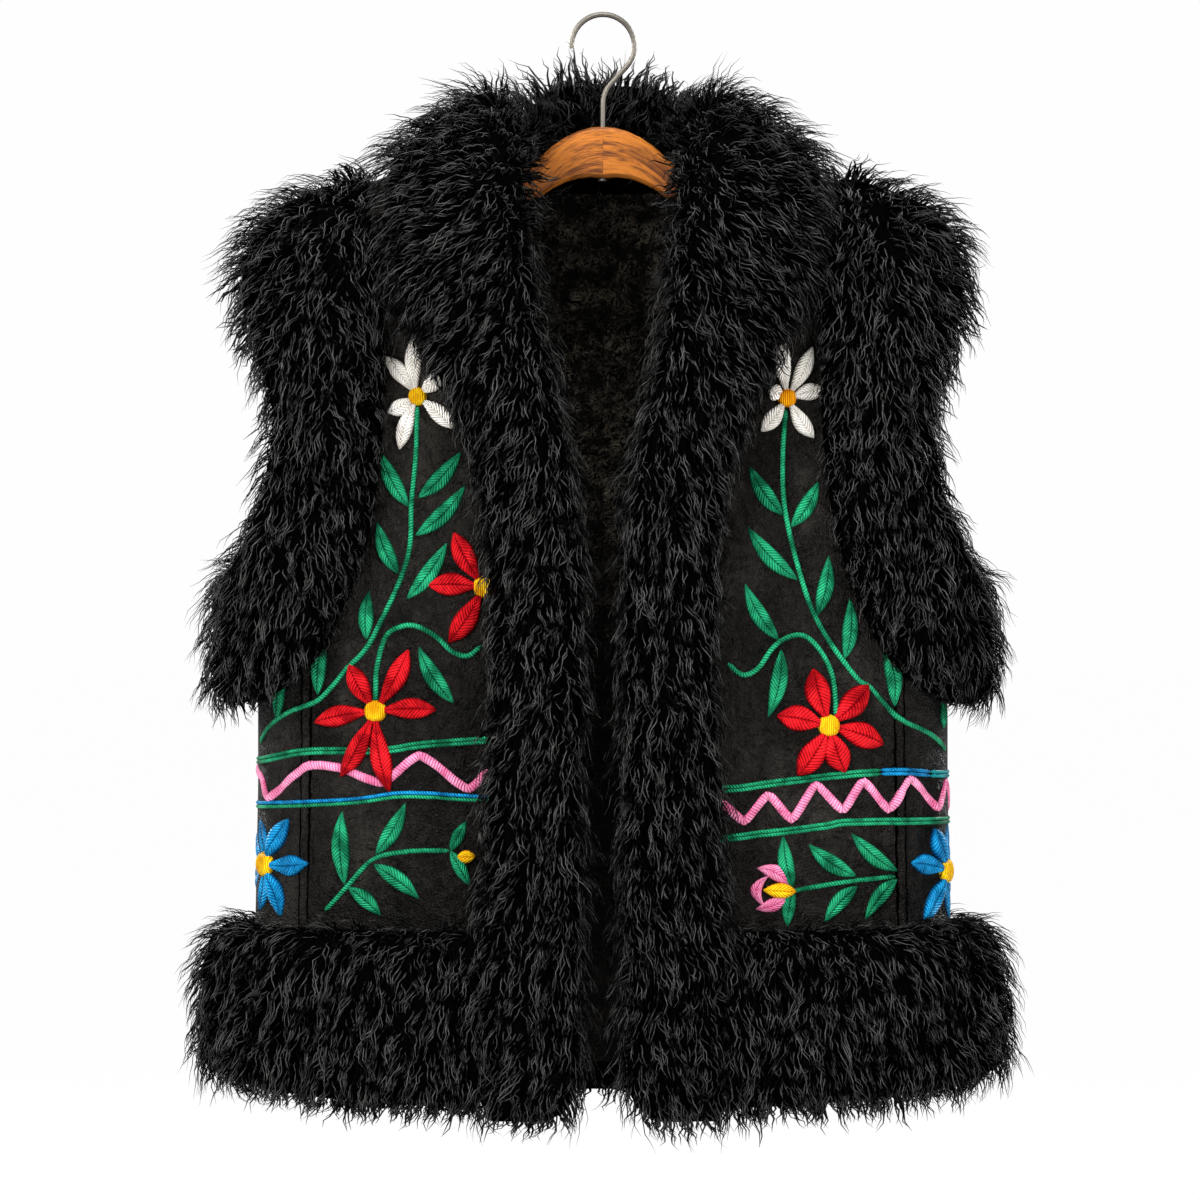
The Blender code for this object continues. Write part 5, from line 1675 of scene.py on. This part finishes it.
def fur_piece(name, node, rows, seed, lean_shares, seam_long, closed=False, mirror=False, cap_x=None):
    points, across, up = fur_sections(rows, lean_shares)
    if cap_x is not None:
        points[-1, :, 0] = cap_x
    if name != "hem_back":
        z = points[..., 2]
        points[..., 2] = np.where(z < FOOT, FOOT + (z - FOOT) * FOOT_SQUEEZE, z)
    count, around = points.shape[:2]
    side = -1 if mirror else 1
    grown = points[:, 1 : 1 + PROFILE_POINTS]
    normals = section_normals(grown)
    if (normals * up[:, None, :]).sum() < 0:
        normals = -normals
    comb = np.zeros((count, around, 3))
    comb[:, 1 : 1 + PROFILE_POINTS] = comb_field(grown, across, normals)
    verts, comb = points.reshape(-1, 3).copy(), comb.reshape(-1, 3)
    verts[:, 0] *= side
    comb[:, 0] *= side
    faces, finishes = [], []
    for r in range(count if closed else count - 1):
        for c in range(around):
            a, b = r * around + c, r * around + (c + 1) % around
            d, e = (r + 1) % count * around + c, (r + 1) % count * around + (c + 1) % around
            faces.append((a, b, e, d) if mirror else (a, d, e, b))
            finishes.append(1 if PROFILE_POINTS < c < around - 1 else 0)
    if not closed:
        faces += [list(range(around)), list(range((count - 1) * around, count * around))[::-1]]
        finishes += [0, 0]
    bed = finish_mesh(name, verts, faces, (FUR_GROUND, WOOL), finishes)
    bm = bmesh.new()
    bm.from_mesh(bed.data)
    bmesh.ops.triangulate(bm, faces=[f for f in bm.faces if len(f.verts) > 4])
    bmesh.ops.recalc_face_normals(bm, faces=bm.faces)
    bm.to_mesh(bed.data)
    bm.free()
    cover = np.zeros((count, around))
    cover[:, 1 : 1 + PROFILE_POINTS] = 1.0
    low = downhill_share(points[..., 2])
    if not name.startswith("hem"):
        edge_rows = slice(PROFILE_POINTS + 1 - EDGE_ROWS, PROFILE_POINTS + 1)
        cover[:, edge_rows] *= lerp(1.0, EDGE_COVER, low[:, edge_rows])
    behind = np.clip(points[..., 1] / CHANGES_OVER + 0.5, 0, 1) * np.minimum(low * 3, 1)
    cover *= lerp(1.0, COVER_BEHIND, behind)
    if not name.startswith("collar"):
        cover[:, 1 : 1 + PROFILE_POINTS] *= lerp(1.0, THICK_AT_SIDES, np.abs(normals[..., 0]) ** 3)
    aside = (np.abs(points[..., 0]) / NECK_HALF_WIDTH) ** 4
    off_neck = np.clip((NECK_TOP - points[..., 2]) / NECK_FADE + aside, 0, 1)
    cover *= lerp(THICK_AT_NECK, 1.0, off_neck)
    long = lerp(LONG_AT_NECK, 1.0, off_neck)
    long[:, SEAM_POINTS] *= np.interp(points[:, SEAM_POINTS, 2], SEAM_HEIGHTS, seam_long)
    facing = np.zeros((count, around))
    facing_down = np.clip(-normals[..., 2] * 1.6 - 0.3, 0, 1)
    facing[:, 1 : 1 + PROFILE_POINTS] = facing_down * (grown[..., 2] < BELOW_Z)
    long *= lerp(1.0, LONG_BELOW, facing)
    space = np.minimum(points[..., 1] - FRONT_SPACE, BACK_SPACE - points[..., 1])
    space = np.minimum(space, points[..., 2] - LOW_SPACE)
    long *= np.clip(space / SPACE_FOR_FULL_LENGTH, SHORTEST, 1)
    stand = lerp(STAND_AT_TOP, 1.0, downhill_share(points[..., 2]))
    mesh = bed.data
    mesh.attributes.new("comb", "FLOAT_VECTOR", "POINT").data.foreach_set("vector", comb.ravel())
    for label, values in (("cover", cover), ("long", long), ("stand", stand)):
        mesh.attributes.new(label, "FLOAT", "POINT").data.foreach_set("value", values.ravel())
    locks = run_tree(bed, LOCK_TREE, {
        "Locks per square metre": LOCKS_PER_SQUARE_METRE, "Length": LOCK_LENGTH,
        "Thickness": LOCK_THICKNESS, "Wave": LOCK_WAVE, "Lift": LOCK_LIFT,
        "Tufts per metre": TUFTS_PER_METRE, "Gather": GATHER, "Front": FRONT_SPACE, "Back": BACK_SPACE,
        "Seed": seed, "Finish": FUR_HAIR,
    })
    grown_locks = bpy.data.objects.new(name + "_locks", locks)
    bpy.context.scene.collection.objects.link(grown_locks)
    for label in ("comb", "cover", "long", "stand"):
        mesh.attributes.remove(mesh.attributes[label])
    with bpy.context.temp_override(active_object=bed, selected_editable_objects=[bed, grown_locks]):
        bpy.ops.object.join()
    for label in ("root", "raised", "comb", "size", "start", "cover", "long", "stand"):
        if label in bed.data.attributes:
            bed.data.attributes.remove(bed.data.attributes[label])
    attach(bed, "root")
    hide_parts(node)
    ys = [v.co.y for v in bed.data.vertices]
    print(name, triangles(bed.data), "triangles, from y", round(min(ys), 3), "to", round(max(ys), 3))
    return bed


def to_back(rows):
    rows = rows.copy()
    rows[:, 0], rows[:, 2] = 180 - rows[:, 0], 180 - rows[:, 2]
    return rows


def hem_rows(angles):
    angles = np.asarray(angles, float)
    edge_z = HEM_EDGE_Z + HEM_SIDE_RISE * np.sin(np.radians(angles)) ** 2
    seam, edge = hem_run(angles, HEM_SEAM_Z), hem_run(angles, edge_z)
    sizes = np.tile(HEM_SIZES, (len(angles), 1))
    return np.column_stack([angles, seam, angles, edge, sizes])


collar = np.concatenate([collar_below[:-1], collar_front[::-1], collar_back[1:]])
ring = np.concatenate([arm_front, to_back(arm_front[-2:0:-1])])
# Degrees left free between the hem's strip and the collar's, and at the seams with the back strip.
OFF_COLLAR, OFF_BACK = 0.45, 0.06
front_end = float(inner_seam[-1, 0]) + OFF_COLLAR
hem_front = np.concatenate([
    angle_across(front_end, SEAM_ANGLE, np.linspace(0, 1, 29)),
    np.linspace(SEAM_ANGLE, BACK_SEAM_ANGLE - OFF_BACK, 26)[1:],
])
half_back = angle_across(180, BACK_SEAM_ANGLE, np.linspace(0, 1, 33))
half_back[-1] += OFF_BACK
for i, (hand, mirror) in enumerate((("right", True), ("left", False))):
    for piece, rows, seed, lean, seam_long, more in (
        ("collar", collar, 11, COLLAR_LEAN, COLLAR_SEAM_LONG, {"cap_x": 0.0}),
        ("armhole", ring, 21, ARM_LEAN, ARM_SEAM_LONG, {"closed": True}),
        ("hem", hem_rows(hem_front), 31, HEM_LEAN, HEM_SEAM_LONG, {}),
    ):
        node = f"{piece}_fur_{hand}"
        fur_piece(f"{piece}_{hand}", node, rows, seed + i, lean, seam_long, mirror=mirror, **more)
back_rows = hem_rows([*(-half_back[::-1]), *half_back[1:]])
fur_piece("hem_back", "hem_fur_back", back_rows, 41, HEM_LEAN, HEM_SEAM_LONG)

# %% [markdown]
# ## Wooden hanger and steel hook
# The bar is glued from two halves that meet under the hook, so its grain is laid out from the middle
# and follows the arch on both sides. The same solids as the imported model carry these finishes.

# %% Varnished wood, book-matched at the middle
WOOD_DARK, WOOD_LIGHT = (0.075, 0.017, 0.002), (0.410, 0.128, 0.012)
WOOD_ARCH = 11.0
# The grain of either half differs, and the glued joint is a thin dark line.
HALVES_APART, JOINT_HALF_WIDTH, JOINT_SHADE = 0.35, 0.00035, 0.25
FIGURE, PORES, PORE_SHARE, GRAIN_SHOWS = (16, 60, 130), (110, 900, 1500), 0.40, (0.40, 0.58)
# Out of the neck's light, the bar goes dark under the fur.
WOOD_DARKENS_FROM, WOOD_DARKENS_TO, WOOD_END_SHADE = 0.028, 0.060, 0.08


def make_wood_finish():
    made, tree, shader = start_material(
        "varnished_wood", 0.45, Coat_Weight=0.22, Coat_Roughness=0.28, Specular_IOR_Level=0.25
    )
    split = add(tree, "ShaderNodeSeparateXYZ", add(tree, "ShaderNodeTexCoord").outputs["Object"])
    away = calc(tree, "ABSOLUTE", split.outputs["X"])
    bent = calc(tree, "MULTIPLY_ADD", calc(tree, "MULTIPLY", away, away), WOOD_ARCH, split.outputs["Z"])
    half = calc(tree, "MULTIPLY_ADD", calc(tree, "SIGN", split.outputs["X"]), HALVES_APART, split.outputs["Y"])
    place = add(tree, "ShaderNodeCombineXYZ", away, half, bent).outputs[0]
    figure = add(tree, "ShaderNodeMapping", place)
    figure.inputs["Scale"].default_value = FIGURE
    broad = add(tree, "ShaderNodeTexNoise", figure.outputs[0], 1.0, 5.0, 0.6, 2.0, 0.9)
    pores = add(tree, "ShaderNodeMapping", place)
    pores.inputs["Scale"].default_value = PORES
    fine = add(tree, "ShaderNodeTexNoise", pores.outputs[0], 1.0, 3.0, 0.65)
    bands = calc(tree, "MULTIPLY", broad.outputs[0], 1 - PORE_SHARE)
    mixed = calc(tree, "MULTIPLY_ADD", fine.outputs[0], PORE_SHARE, bands)
    shade = add(tree, "ShaderNodeMapRange", mixed, *GRAIN_SHOWS, 0.0, 1.0, interpolation_type="SMOOTHSTEP")
    joint = add(tree, "ShaderNodeMapRange", away, 0.0, JOINT_HALF_WIDTH, JOINT_SHADE, 1.0).outputs[0]
    end = add(tree, "ShaderNodeMapRange", away, WOOD_DARKENS_FROM, WOOD_DARKENS_TO, 1.0, WOOD_END_SHADE)
    shade = calc(tree, "MULTIPLY", calc(tree, "MULTIPLY", shade.outputs[0], joint), end.outputs[0])
    colour = two_colours(tree, shade, WOOD_DARK, WOOD_LIGHT)
    tree.links.new(colour, shader.inputs["Base Color"])
    tree.links.new(bumped(tree, mixed, 0.0002, 0.5), shader.inputs["Normal"])
    return made


STEEL_DARK, STEEL_LIGHT = (0.085, 0.077, 0.066), (0.125, 0.114, 0.098)
STEEL_ROUGHNESS, SCRATCHES = (0.46, 0.56), (900, 900, 160)


def make_steel_finish():
    made, tree, shader = start_material("nickelled_steel", 0.5, Metallic=1.0)
    place = add(tree, "ShaderNodeMapping", add(tree, "ShaderNodeTexCoord").outputs["Object"])
    place.inputs["Scale"].default_value = SCRATCHES
    scratch = add(tree, "ShaderNodeTexNoise", place.outputs[0], 1.0, 3.0, 0.6)
    rough = add(tree, "ShaderNodeMapRange", scratch.outputs[0], 0.3, 0.7, *STEEL_ROUGHNESS)
    colour = two_colours(tree, scratch.outputs[0], STEEL_DARK, STEEL_LIGHT)
    tree.links.new(colour, shader.inputs["Base Color"])
    tree.links.new(rough.outputs[0], shader.inputs["Roughness"])
    return made


STEEL = make_steel_finish()
for node, finish in (("hanger_wood", make_wood_finish()), ("hanger_hook", STEEL), ("hook_head", STEEL)):
    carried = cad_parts[node]
    carried.data.materials.clear()
    carried.data.materials.append(finish)
    print(node, "is", finish.name)

# %% Size of the dressed model, and the end
added = [o for o in bpy.context.scene.objects if o.type == "MESH" and o.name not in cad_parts]
print("added pieces", len(added), "with", sum(triangles(o.data) for o in added), "triangles")
low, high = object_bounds()
print("dressed box", [round(v, 3) for v in (*low, *high)])
